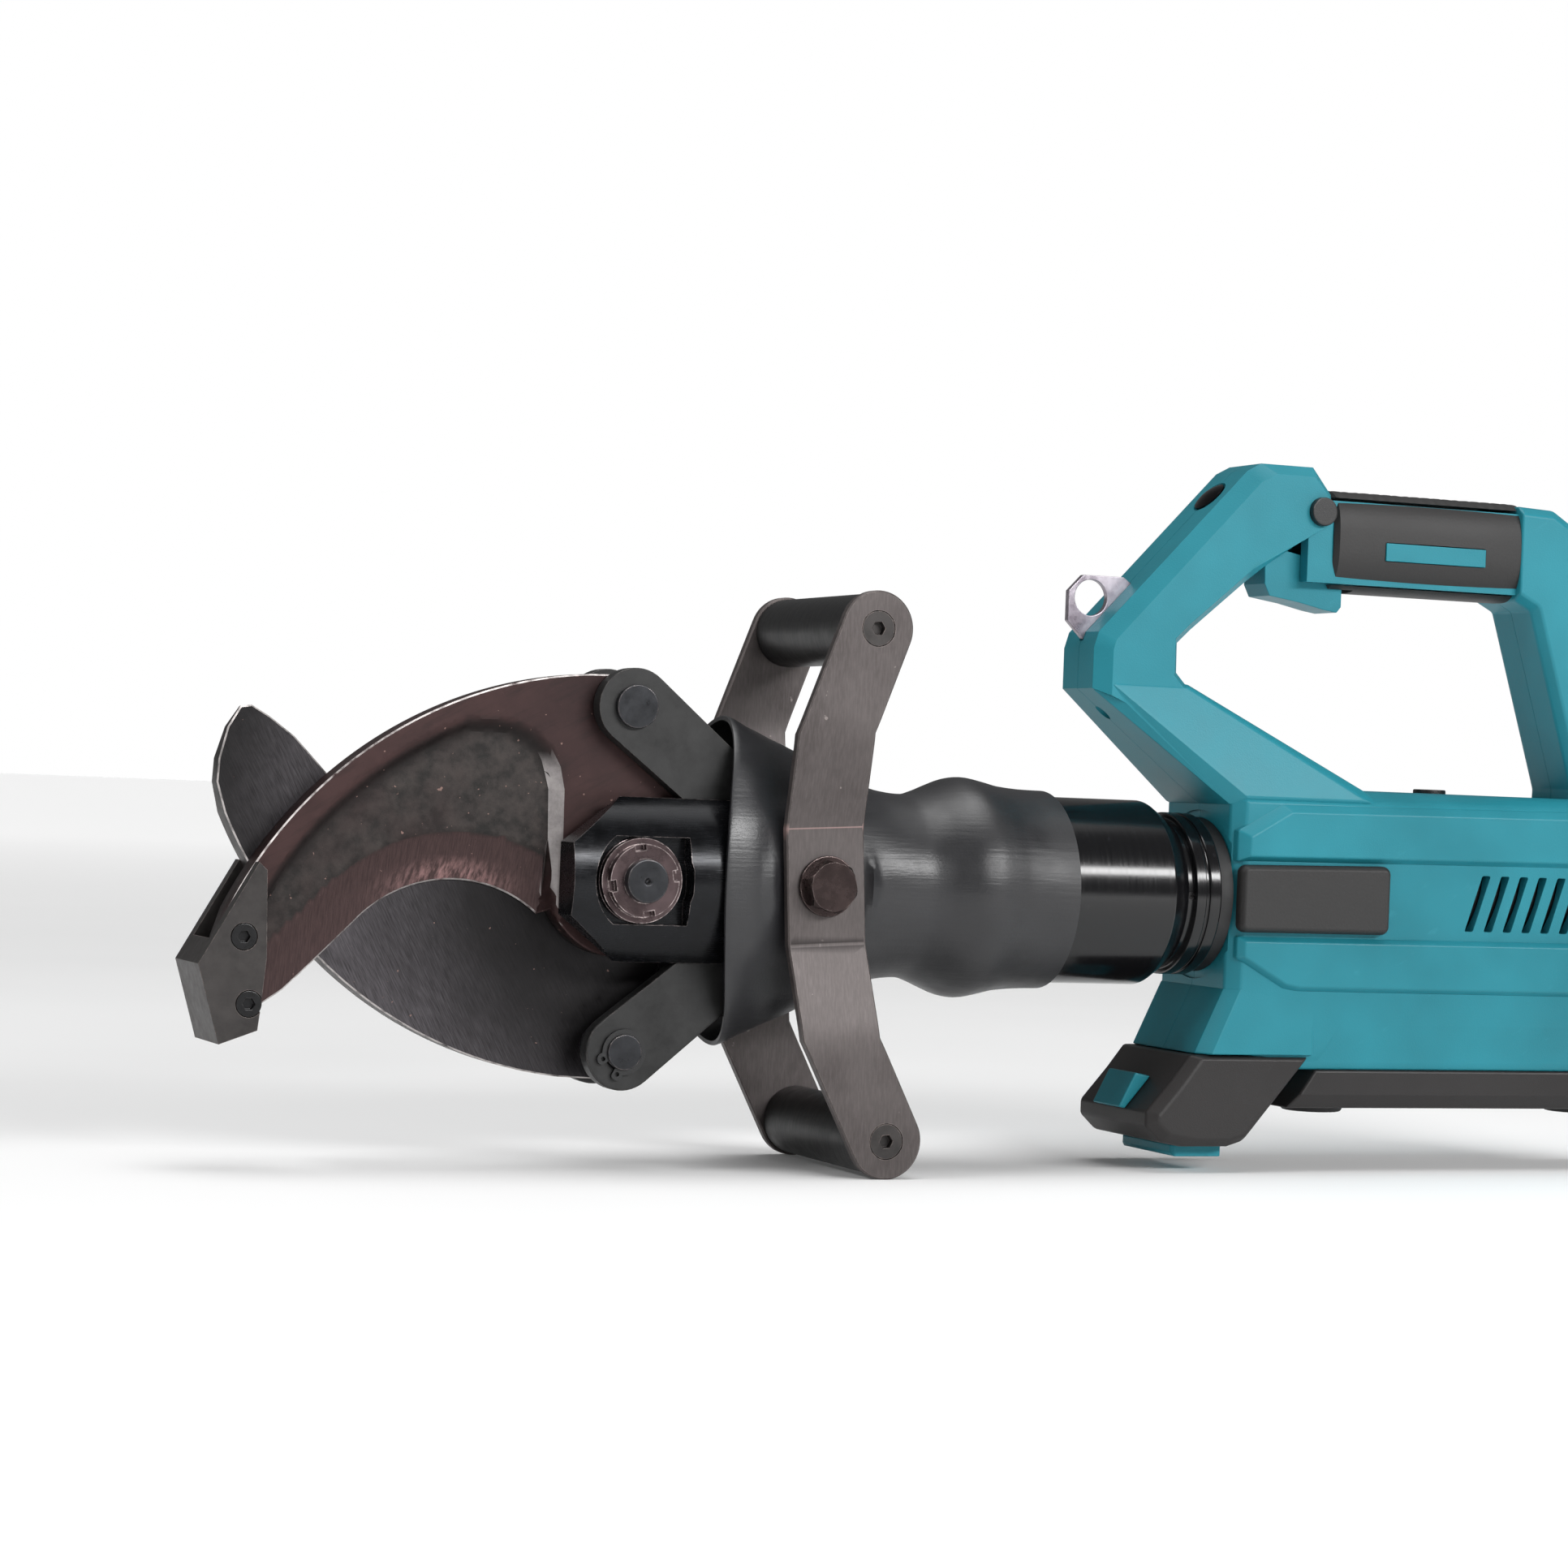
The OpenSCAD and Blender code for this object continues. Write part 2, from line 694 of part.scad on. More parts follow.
// Everything hollowed out of the housing, whole across both halves
module housing_hollows() {
    bore = bore_body - 0.5;
    rod_x(bore, front_x + wall, 396);
    rod_x(neck_r + 0.5, front_x - 30, front_x + wall + 1);
    box([236, -bore, -64], [392, bore, -16]);
    box([206, -bore, 12], [388, bore, 41]);
    box([trigger_pivot[0] - trigger_r - 1.5, -9.6, 118], [252, 9.6, 158]);
    box([251, -14, 140], [322, 14, 164]);
    translate([trigger_pivot[0], 0, trigger_pivot[1]]) rod_y(3.06, -13, 13);
    rod_y(6.1, -40, 40, lock_at[0], lock_at[1]);
    translate([release_at[0], 0, 30]) cylinder(r = 7.1, h = 20);
    translate([lamp_at[0], 0, lamp_at[1]]) rotate([0, -45, 0]) {
        translate([0, 0, -10]) cylinder(r = 7.6, h = 30);
    }
    plate(strap_root, -1.55, 1.55);
}

strap_root = [[121, 111.5], [121, 124.6], [127.5, 131.4], [147, 131.4], [158, 124], [142, 104],
    [128, 104]];
strap_hole = [131.5, 122];

module housing_half() {
    difference() {
        union() {
            strut_half(strut_top, 5);
            strut_half(strut_knee, 5);
            strut_half(strut_low, 4);
            strut_half(strut_rear, 5);
            plate(grip_core, -15.5, -gap);
            body_half();
            box([tongue_x[0], -12, rail_z - 5], [tongue_x[1], -gap, rail_z + 1]);
            box([tongue_x[0], -15.5, rail_z - 10], [tongue_x[1], -gap, rail_z - 5]);
        }
        housing_hollows();
    }
}

teal = [0.16, 0.5, 0.55];

module housing_near() {
    color(teal) difference() {
        housing_half();
        for (p = screw_spots)
            rod_y(1.95, -15, 0, p[0], p[1]);
    }
}

module housing_far() {
    color(teal) difference() {
        mirror([0, 1, 0]) housing_half();
        for (p = screw_spots) {
            rod_y(2.1, -1, 60, p[0], p[1]);
            rod_y(4, 13, 60, p[0], p[1]);
        }
    }
}

module housing_screws() {
    color([0.2, 0.2, 0.21])
        for (p = screw_spots)
            translate([p[0], 0, p[1]]) rotate([0, 0, 180]) socket_screw(-16, 3.5, 3, 1.9, 30, 1.7);
}

module swivel_seal() {
    color([0.08, 0.08, 0.08]) difference() {
        rod_x(32.5, seal_x, front_x - gap);
        rod_x(neck_r + 0.2, seal_x - 1, front_x);
    }
}

module swivel_retainer() {
    color([0.45, 0.45, 0.47]) difference() {
        rod_x(bore_body - 0.6, front_x + wall, front_x + 7);
        rod_x(neck_r + 0.1, front_x, front_x + 8);
    }
}

sleeve_x = [238, 334];

module grip_sleeve() {
    r = 9;
    low = 130;
    high = 174;
    bore_start = sleeve_x[0] - 1;
    color([0.26, 0.26, 0.27]) difference() {
        hull() both_sides() for (z = [low + r, high - r])
            rod_x(r, sleeve_x[0], sleeve_x[1], -handle_w + r, z);
        plate([[bore_start, 133], [bore_start, 171.3], [345, 168.2], [345, 131.5]],
            -15.55, 15.55);
        plate(strut_rear, -20, 20);
        box([230, -9.6, 118], [252.2, 9.6, 158]);
        both_sides() box([262, -20, 144], [312, -handle_w + 0.8, 152]);
    }
}

module grip_inlays() {
    color(teal) both_sides()
        box([262.2, -handle_w - 0.2, 144.2], [311.8, -handle_w + 0.75, 151.8]);
}

module trigger() {
    color(teal) difference() {
        union() {
            rod_y(trigger_r, -9, 9, trigger_pivot[0], trigger_pivot[1]);
            plate([[209, 150], [209.5, 132], [212, 127], [226, 125], [238, 122.5], [245, 121.5],
                [247, 124], [247, 140], [243, 142], [216, 147], [216, 151]], -9, 9);
        }
        rod_y(3.05, -10, 10, trigger_pivot[0], trigger_pivot[1]);
    }
    color([0.5, 0.5, 0.5]) rod_y(2.98, -12.5, 12.5, trigger_pivot[0], trigger_pivot[1]);
}

module lock_off_button() {
    color([0.12, 0.12, 0.12]) rod_y(6, -handle_w - 3, handle_w - 0.5, lock_at[0], lock_at[1]);
}

module release_button() {
    color([0.12, 0.12, 0.12]) translate([release_at[0], 0, 38.4]) {
        cylinder(r = 7, h = 9.6);
        cylinder(r = 9, h = 2.5);
    }
}

module lamp_lens() {
    color([0.05, 0.05, 0.06]) translate([lamp_at[0], 0, lamp_at[1]]) rotate([0, -45, 0])
        intersection() {
            translate([0, 0, -3]) cylinder(r = 7.5, h = 8);
            translate([0, 0, -16]) sphere(r = 18);
        }
}

module strap_ring() {
    color([0.6, 0.6, 0.63]) difference() {
        plate([[121.05, 112], [121.05, 124.5], [127.6, 131.3], [146.5, 131.3], [157, 124],
            [142, 104.6], [128.6, 104.6]], -1.5, 1.5);
        rod_y(7.5, -2, 2, strap_hole[0], strap_hole[1]);
    }
}

module side_pads() {
    color([0.27, 0.27, 0.27]) both_sides() hull() {
        plate([[190.5, -14], [190.5, 14], [260.5, 14], [260.5, -14]], -body_w - 4, -body_w - gap);
        plate([[193, -11.5], [193, 11.5], [258, 11.5], [258, -11.5]], -body_w - 6, -body_w - gap);
    }
}

module bottom_cover() {
    half = body_w - 3;
    low_y = half - 4;
    color([0.13, 0.13, 0.13]) intersection() {
        plate([[231.5, body_low], [220, skid_z], [398, skid_z], [410, body_low]], -half, half);
        section([[-half, body_low], [half, body_low], [half, skid_z + 6], [low_y, skid_z],
            [-low_y, skid_z], [-half, skid_z + 6]], 200, rear_x);
    }
}

module feet() {
    color([0.08, 0.08, 0.08]) for (x = [247, 380])
        translate([x, 0, skid_z - 3]) cylinder(r1 = 12.5, r2 = 14, h = 3);
}

// ---------------------------------------------------------------- inside the housing

module pump_block() {
    x0 = front_x + 7;
    color([0.5, 0.51, 0.53]) difference() {
        rod_x(bore_body - 1, x0, x0 + 62);
        rod_x(25.2, x0 - 1, x0 + 5);
        rod_x(12.06, x0, x0 + 18);
        rod_x(7.06, x0 + 36, x0 + 63);
    }
}

module pump_shaft() {
    color([0.6, 0.6, 0.62]) rod_x(7, 231, 278);
}

module gearbox() {
    color([0.42, 0.43, 0.45]) difference() {
        rod_x(bore_body - 2, 257, 296);
        rod_x(7.06, 256, 279);
        rod_x(4.06, 278, 297);
    }
}

module motor_can() {
    color([0.25, 0.25, 0.27]) difference() {
        rod_x(bore_body - 2, 297, 362);
        rod_x(17, 301, 358);
        rod_x(4.06, 296, 363);
    }
}

module rotor() {
    color([0.5, 0.4, 0.3]) {
        rod_x(4, 281, 379);
        rod_x(16.5, 303, 356);
    }
    color([0.2, 0.2, 0.2]) {
        rod_x(10, 366, 376);
        for (a = [0:45:315])
            rotate([a, 0, 0]) box([367, -0.9, 0], [376, 0.9, 24]);
    }
}

module oil_bladder() {
    color([0.12, 0.12, 0.13]) box([212, -20, 29.5], [285, 20, 40]);
}

module trigger_switch() {
    color([0.15, 0.15, 0.15]) box([255, -11, 144], [292, 11, 163]);
}

module control_board() {
    color([0.1, 0.35, 0.2]) {
        box([262, -24, -50], [350, 24, -48.2]);
        box([270, -18, -48.3], [330, 18, -40]);
    }
}

// ---------------------------------------------------------------- battery

bat_low = -103.7;

// Solid case with a T slot in its top, open to the rear, for the tongue of the housing
module battery_case() {
    half = bat_w;
    nose_w = 29.5;
    slot_x = tongue_x[0] - 0.4;
    color([0.27, 0.26, 0.26]) difference() {
        intersection() {
            plate([[171, rail_z - 0.15], [163, -76], [151.5, -89.5], [151.5, -95], [158, -101.5],
                [168, bat_low], [190, bat_low], [197, -101.5], [227.5, rail_z - 0.15]], -half, half);
            plan([[140, -nose_w + 6], [151.4, -nose_w + 3], [156, -nose_w], [172, -half],
                [230, -half], [230, half], [172, half], [156, nose_w], [151.4, nose_w - 3],
                [140, nose_w - 6]], -110, -60);
        }
        box([slot_x, -12.4, rail_z - 6], [240, 12.4, rail_z + 1]);
        box([slot_x, -15.9, rail_z - 10.4], [240, 15.9, rail_z - 4.6]);
    }
}

module battery_foot() {
    color(teal) hull() {
        box([168, -21, bat_z + 1.5], [190, 21, bat_low]);
        box([169.5, -22.5, bat_z], [191, 22.5, bat_low]);
    }
}

latch_pts = [[162.6, -76.1], [155.5, -74.6], [148.2, -88.8], [151.1, -89.6]];

module battery_latch() {
    color(teal) plate(latch_pts, -12, 12);
}

// ---------------------------------------------------------------- nodes

place() upper_jaw();
place() lower_jaw();
place() blade_guide();
place() guide_screws();
place() upper_links();
place() lower_links();
place() upper_link_pin();
place() lower_link_pin();
place() upper_circlip();
place() lower_circlip();
place() upper_pin_spacer();
place() lower_pin_spacer();
place() yoke();
place() pivot_pin();
place() pivot_nut();
place() pivot_washer();
place() pivot_spacers();
place() crosshead();
place() crosshead_pins();
place() piston_rod();
place() piston();
place() piston_seal();
place() return_spring();
place() gland_seal();
place() ram_cylinder();
place() lock_screw();
place() rubber_boot();
place() guard_plate_near();
place() guard_plate_far();
place() grip_bars();
place() grip_screws();
place() guard_bolts();
place() guard_washers();
place() guard_bushes();
place() housing_near();
place() housing_far();
place() housing_screws();
place() swivel_seal();
place() swivel_retainer();
place() grip_sleeve();
place() grip_inlays();
place() trigger();
place() lock_off_button();
place() release_button();
place() lamp_lens();
place() strap_ring();
place() side_pads();
place() bottom_cover();
place() feet();
place() pump_block();
place() pump_shaft();
place() gearbox();
place() motor_can();
place() rotor();
place() oil_bladder();
place() trigger_switch();
place() control_board();
place() battery_case();
place() battery_foot();
place() battery_latch();
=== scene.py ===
import math

import bmesh
import bpy
import numpy as np
from mathutils import Matrix, Vector
from mathutils.geometry import delaunay_2d_cdt

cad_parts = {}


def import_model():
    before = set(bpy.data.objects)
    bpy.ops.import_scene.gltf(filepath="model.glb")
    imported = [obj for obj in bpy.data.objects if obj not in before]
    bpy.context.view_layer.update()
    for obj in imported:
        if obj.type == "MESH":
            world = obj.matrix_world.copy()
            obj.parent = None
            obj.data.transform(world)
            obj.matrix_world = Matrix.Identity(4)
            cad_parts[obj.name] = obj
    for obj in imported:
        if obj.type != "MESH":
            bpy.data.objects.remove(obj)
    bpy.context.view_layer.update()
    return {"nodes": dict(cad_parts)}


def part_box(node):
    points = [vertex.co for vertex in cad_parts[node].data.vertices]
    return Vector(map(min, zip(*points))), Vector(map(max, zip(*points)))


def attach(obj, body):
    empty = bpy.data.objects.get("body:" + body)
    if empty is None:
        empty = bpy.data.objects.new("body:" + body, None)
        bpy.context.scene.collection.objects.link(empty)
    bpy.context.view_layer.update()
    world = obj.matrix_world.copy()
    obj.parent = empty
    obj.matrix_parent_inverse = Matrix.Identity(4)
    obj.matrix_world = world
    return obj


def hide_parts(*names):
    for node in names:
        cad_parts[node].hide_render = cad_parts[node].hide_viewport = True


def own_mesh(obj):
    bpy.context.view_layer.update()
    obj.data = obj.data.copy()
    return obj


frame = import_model()

# Working frame: millimetres from the guard bolts, +X to the housing, +Z up, -Y to the near side
MM = 0.001
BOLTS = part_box("guard_bolts")
ORIGIN = (BOLTS[0] + BOLTS[1]) / 2


# ------------------------------------------------------------------ meshes

def place(point):
    return ORIGIN + MM * Vector(point)


def link(obj):
    bpy.context.scene.collection.objects.link(obj)
    return obj


def to_object(bm, name):
    bmesh.ops.recalc_face_normals(bm, faces=bm.faces)
    mesh = bpy.data.meshes.new(name)
    bm.to_mesh(mesh)
    bm.free()
    return link(bpy.data.objects.new(name, mesh))


def hull(name, points):
    bm = bmesh.new()
    for point in points:
        bm.verts.new(place(point))
    made = bmesh.ops.convex_hull(bm, input=bm.verts)
    spare = [g for g in made["geom_interior"] if isinstance(g, bmesh.types.BMVert)]
    bmesh.ops.delete(bm, geom=spare, context="VERTS")
    bmesh.ops.dissolve_limit(bm, angle_limit=math.radians(0.5), verts=bm.verts, edges=bm.edges)
    return to_object(bm, name)


def mirrored(points):
    return [(x, s * y, z) for x, y, z in points for s in (-1, 1)]


def block(name, low, high):
    corners = [(x, y, z) for x in (low[0], high[0]) for y in (low[1], high[1])
               for z in (low[2], high[2])]
    return hull(name, corners)


def rod(name, axis, radius, start, end, centre, sides=64, tip=None):
    """Round bar along "X", "Y" or "Z" from start to end; centre gives the other two places."""
    turn = {"X": Matrix.Rotation(math.pi / 2, 4, "Y"), "Z": Matrix.Identity(4),
            "Y": Matrix.Rotation(-math.pi / 2, 4, "X")}[axis]
    middle = list(centre)
    middle.insert("XYZ".index(axis), (start + end) / 2)
    bm = bmesh.new()
    bmesh.ops.create_cone(bm, cap_ends=True, segments=sides, radius1=radius * MM,
                          radius2=(radius if tip is None else tip) * MM,
                          depth=(end - start) * MM, matrix=Matrix.Translation(place(middle)) @ turn)
    return to_object(bm, name)


def inset_points(points, widths):
    """Closed outline moved inwards; widths[i] belongs to the edge from point i to the next."""
    count = len(points)
    area = sum(points[i - 1][0] * points[i][1] - points[i][0] * points[i - 1][1]
               for i in range(count))
    sign = 1 if area > 0 else -1
    moved = []
    for i in range(count):
        a, b, c = (Vector(points[(i + k) % count]) for k in (-1, 0, 1))
        d0, d1 = (b - a).normalized(), (c - b).normalized()
        n0, n1 = sign * Vector((-d0.y, d0.x)), sign * Vector((-d1.y, d1.x))
        w0, w1 = widths[i - 1], widths[i]
        turn = d0.x * d1.y - d0.y * d1.x
        if abs(turn) < 0.02:
            moved.append(b + n1 * (w0 + w1) / 2)
        else:
            p0, p1 = b + n0 * w0, b + n1 * w1
            step = ((p1 - p0).x * d1.y - (p1 - p0).y * d1.x) / turn
            moved.append(p0 + d0 * step)
    return [tuple(p) for p in moved]


def bridge(bm, rings):
    """Faces between each ring of vertices and the next."""
    for a, b in zip(rings, rings[1:]):
        for i in range(len(a)):
            j = (i + 1) % len(a)
            bm.faces.new([a[i], a[j], b[j], b[i]])


def prism(name, rows, half, depth, low=None):
    """Side outline of (x, z, chamfer) rows, from -half to +half, or from low to half, chamfered."""
    outer = [(r[0], r[1]) for r in rows]
    inner = inset_points(outer, [r[2] for r in rows])
    levels = [(-half, inner), (-half + depth, outer), (half - depth, outer), (half, inner)]
    if low is not None:
        levels = [(low, outer)] + levels[2:]
    bm = bmesh.new()
    rings = [[bm.verts.new(place((x, y, z))) for x, z in ring] for y, ring in levels]
    bm.faces.new(rings[0])
    bm.faces.new(rings[-1])
    bridge(bm, rings)
    bmesh.ops.remove_doubles(bm, verts=bm.verts, dist=1e-7)
    return to_object(bm, name)


def reach_y(side, near, far):
    """The two Y limits, lowest first, of what lies from near to far on one side."""
    return sorted((side * near, side * far))


def to_near_side(obj):
    """Mirrors a piece built on the far side to the near side."""
    obj.data.transform(Matrix.Translation(ORIGIN) @ Matrix.Scale(-1, 4, (0, 1, 0))
                       @ Matrix.Translation(-ORIGIN))
    obj.data.flip_normals()


def copy_of(obj, name):
    copied = obj.copy()
    copied.data = obj.data.copy()
    copied.name = name
    return link(copied)


def apply_modifiers(obj):
    graph = bpy.context.evaluated_depsgraph_get()
    mesh = bpy.data.meshes.new_from_object(obj.evaluated_get(graph))
    obj.modifiers.clear()
    obj.data = mesh
    return obj


def round_edges(obj, width, segments, angle):
    bevel = obj.modifiers.new("round", "BEVEL")
    bevel.width = width * MM
    bevel.segments = segments
    bevel.limit_method = "ANGLE"
    bevel.angle_limit = math.radians(angle)
    return bevel


def soften(obj, width, segments=3, angle=20):
    """Rounds the edges of a piece by width millimetres, and applies that."""
    round_edges(obj, width, segments, angle).miter_outer = "MITER_ARC"
    return apply_modifiers(obj)


def even_normals(obj):
    obj.modifiers.new("normals", "WEIGHTED_NORMAL").keep_sharp = True


def combine(obj, others, operation):
    for other in others:
        change = obj.modifiers.new("combine", "BOOLEAN")
        change.operation = operation
        change.solver = "MANIFOLD"
        change.object = other
        apply_modifiers(obj)
        bpy.data.objects.remove(other)
    return obj


def join(obj, *others):
    return combine(obj, others, "UNION")


def cut(obj, *others):
    return combine(obj, others, "DIFFERENCE")


def smooth(obj, angle=32, weighted=True):
    obj.data.shade_smooth()
    obj.data.set_sharp_from_angle(angle=math.radians(angle))
    if weighted:
        even_normals(obj)
    return obj


def arc(centre, radius, start, end, count):
    """Points on an arc, by angles in degrees, in the side plane."""
    angles = [math.radians(start + (end - start) * i / count) for i in range(count + 1)]
    return [(centre[0] + radius * math.cos(a), centre[1] + radius * math.sin(a)) for a in angles]


def turned_by(angle, points):
    c, s = math.cos(math.radians(angle)), math.sin(math.radians(angle))
    return [(x * c - z * s, x * s + z * c) for x, z in points]


def distance(points, line, closed=True):
    """Distance of each point from a line of straight pieces, as an array."""
    a = np.array(line, float)
    b = np.roll(a, -1, axis=0)
    if not closed:
        a, b = a[:-1], b[:-1]
    best = np.full(len(points), 1e9)
    for start, end in zip(a, b):
        along = end - start
        t = np.clip((points - start) @ along / (along @ along), 0, 1)
        best = np.minimum(best, np.hypot(*(points - start - t[:, None] * along).T))
    return best


def inside(points, outline):
    """True for each point inside a closed outline."""
    odd = np.zeros(len(points), bool)
    for (x0, z0), (x1, z1) in zip(outline, outline[1:] + outline[:1]):
        if z0 == z1:
            continue
        crosses = (points[:, 1] > min(z0, z1)) & (points[:, 1] <= max(z0, z1))
        at = x0 + (points[:, 1] - z0) / (z1 - z0) * (x1 - x0)
        odd ^= crosses & (points[:, 0] < at)
    return odd


def relief(name, side, outline, holes, outer, inner, step, creases, edge=0.6):
    """Closed plate in the side plane whose two faces follow the height functions outer and inner.
    Creases are extra lines that the mesh follows, and edge is the chamfer round the outline."""
    front, back = (outer, inner) if side < 0 else (inner, outer)
    inset = inset_points(outline, [edge] * len(outline))
    loops = [outline, inset] + holes
    low, high = np.min(outline, axis=0), np.max(outline, axis=0)
    grid = []
    for row, z in enumerate(np.arange(low[1], high[1], step * 0.87)):
        for x in np.arange(low[0] + (row % 2) * step / 2, high[0], step):
            grid.append((x, z))
    grid = np.array(grid)
    keep = inside(grid, inset)
    for loop in loops:
        keep &= distance(grid, loop) > step * 0.55
    for line in creases:
        keep &= distance(grid, line, False) > step * 0.45
    points, edges = [], []
    for loop in loops:
        base = len(points)
        points += loop
        edges += [(base + i, base + (i + 1) % len(loop)) for i in range(len(loop))]
    for line in creases:
        base = len(points)
        points += line
        edges += [(base + i, base + i + 1) for i in range(len(line) - 1)]
    points += [tuple(p) for p in grid[keep]]
    flat = delaunay_2d_cdt([Vector(p) for p in points], edges, [], 0, 1e-5)
    verts, tris = np.array([tuple(v) for v in flat[0]]), np.array(flat[2])
    centres = verts[tris].mean(axis=1)
    used = inside(centres, outline)
    for hole in holes:
        used &= ~inside(centres, hole)
    tris = tris[used]
    rim = distance(verts, outline)
    chamfer = np.clip(edge - rim, 0, edge)
    ys = [front(verts) + chamfer, back(verts) - chamfer]
    count = len(verts)
    bm = bmesh.new()
    made = [bm.verts.new(place((v[0], y[i], v[1]))) for y in ys for i, v in enumerate(verts)]
    pairs = {}
    for a, b, c in tris.tolist():
        bm.faces.new([made[a], made[b], made[c]])
        bm.faces.new([made[c + count], made[b + count], made[a + count]])
        for e in ((a, b), (b, c), (c, a)):
            pairs[e] = True
    for a, b in pairs:
        if (b, a) not in pairs:
            bm.faces.new([made[b], made[a], made[a + count], made[b + count]])
    bmesh.ops.delete(bm, geom=[v for v in bm.verts if not v.link_faces], context="VERTS")
    return to_object(bm, name)


def side_points(obj):
    """Side-plane places, in working millimetres, and depths of an object's vertices."""
    co = np.zeros(len(obj.data.vertices) * 3)
    obj.data.vertices.foreach_get("co", co)
    co = (co.reshape(-1, 3) - np.array(ORIGIN)) / MM
    return co[:, [0, 2]], co[:, 1]


def mask(obj, name, values):
    layer = obj.data.attributes.new(name, "FLOAT", "POINT")
    layer.data.foreach_set("value", np.clip(values, 0, 1).astype(np.float32))


def lathe(name, profile, sides=144):
    """Turned shape about the ram axis from (x, radius) points; the ends at radius 0 close it."""
    bm = bmesh.new()
    rings = []
    for x, r in profile:
        if r == 0:
            rings.append([bm.verts.new(place((x, 0, 0)))])
        else:
            rings.append([bm.verts.new(place((x, r * math.cos(t), r * math.sin(t))))
                          for t in (2 * math.pi * i / sides for i in range(sides))])
    for a, b in zip(rings, rings[1:]):
        for i in range(sides):
            j = (i + 1) % sides
            corners = [a[i % len(a)], a[j % len(a)], b[j % len(b)], b[i % len(b)]]
            bm.faces.new(list(dict.fromkeys(corners)))
    return to_object(bm, name)


# ------------------------------------------------------------------ materials

def rgb(r, g, b):
    """sRGB 0-255 as linear RGBA."""
    linear = [(c / 255 / 12.92 if c <= 10 else ((c / 255 + 0.055) / 1.055) ** 2.4) for c in (r, g, b)]
    return (*linear, 1)


def shaded(colour, share, added=0.0):
    return tuple(min(1, c * share + added) for c in colour[:3]) + (1,)


def feed(tree, socket, value):
    """Links an output to a socket, or sets the socket to a plain value."""
    if isinstance(value, bpy.types.NodeSocket):
        tree.links.new(value, socket)
    else:
        socket.default_value = value


def add_node(tree, kind, settings=(), **inputs):
    """Adds a node; an input's name has _ for each space."""
    made = tree.nodes.new("ShaderNode" + kind)
    for key, value in dict(settings).items():
        setattr(made, key, value)
    for key, value in inputs.items():
        feed(tree, made.inputs[key.replace("_", " ")], value)
    return made


class Shader:
    """A small helper that adds nodes to one principled material."""

    def __init__(self, name, colour, roughness, metallic=0.0, specular=0.5):
        self.material = bpy.data.materials.new(name)
        self.material.use_nodes = True
        self.tree = self.material.node_tree
        self.tree.nodes.clear()
        self.bsdf = self.node("BsdfPrincipled", Base_Color=colour, Roughness=roughness,
                              Metallic=metallic, Specular_IOR_Level=specular)
        self.node("OutputMaterial", Surface=self.bsdf.outputs[0])
        self.where = self.node("TexCoord").outputs["Object"]

    def node(self, kind, settings=(), **inputs):
        return add_node(self.tree, kind, settings, **inputs)

    def feed(self, socket, value):
        feed(self.tree, socket, value)

    def stretched(self, scale, turn=(0, 0, 0)):
        """The object's coordinates, turned by degrees and then scaled."""
        angles = [math.radians(a) for a in turn]
        turned = self.node("Mapping", Vector=self.where, Rotation=angles)
        return self.node("Mapping", Vector=turned.outputs[0], Scale=scale).outputs[0]

    def noise(self, scale, detail=4.0, rough=0.55, where=None):
        made = self.node("TexNoise", Vector=where or self.where, Scale=scale, Detail=detail,
                         Roughness=rough)
        return made.outputs["Fac"]

    def cells(self, scale):
        return self.node("TexVoronoi", Vector=self.where, Scale=scale).outputs["Distance"]

    def span(self, value, low=0.3, high=0.7, start=0.0, end=1.0):
        return self.node("MapRange", Value=value, From_Min=low, From_Max=high, To_Min=start,
                         To_Max=end).outputs[0]

    def math(self, kind, a, b=0.0):
        made = self.node("Math", {"operation": kind})
        self.feed(made.inputs[0], a)
        self.feed(made.inputs[1], b)
        return made.outputs[0]

    def times(self, a, b):
        return self.math("MULTIPLY", a, b)

    def mix(self, amount, a, b):
        made = self.node("Mix", {"data_type": "RGBA"})
        self.feed(made.inputs["Factor"], amount)
        self.feed(made.inputs[6], a)
        self.feed(made.inputs[7], b)
        return made.outputs[2]

    def mask(self, name):
        return self.node("Attribute", {"attribute_name": name}).outputs["Fac"]

    def edges(self, radius, low=0.985, high=0.90):
        """1 on worn convex edges, broken up by noise, and 0 on flat faces."""
        bevel = self.node("Bevel", {"samples": 6}, Radius=radius * MM)
        flat = self.node("NewGeometry").outputs["Normal"]
        dot = self.node("VectorMath", {"operation": "DOT_PRODUCT"})
        self.feed(dot.inputs[0], bevel.outputs[0])
        self.feed(dot.inputs[1], flat)
        broken = self.span(self.noise(420, 3), 0.35, 0.62)
        return self.times(self.span(dot.outputs["Value"], low, high), broken)

    def slope(self, low, high):
        """1 where the true surface is tilted from the piece's side plane between two cosines."""
        normal = self.node("NewGeometry").outputs["True Normal"]
        turn = self.node("VectorTransform", {"vector_type": "NORMAL", "convert_from": "WORLD",
                                             "convert_to": "OBJECT"}, Vector=normal)
        split = self.node("SeparateXYZ", Vector=turn.outputs[0])
        lean = self.math("ABSOLUTE", split.outputs["Y"])
        return self.times(self.math("GREATER_THAN", lean, low),
                          self.math("LESS_THAN", lean, high))

    def colour(self, value):
        self.feed(self.bsdf.inputs["Base Color"], value)
        return self

    def rough(self, value):
        self.feed(self.bsdf.inputs["Roughness"], value)
        return self

    def bump(self, height, depth, strength=1.0):
        """Height field of depth millimetres; several bumps chain."""
        made = self.node("Bump", Height=height, Distance=depth * MM, Strength=strength)
        before = self.bsdf.inputs["Normal"]
        if before.links:
            self.feed(made.inputs["Normal"], before.links[0].from_socket)
        self.feed(before, made.outputs[0])
        return self


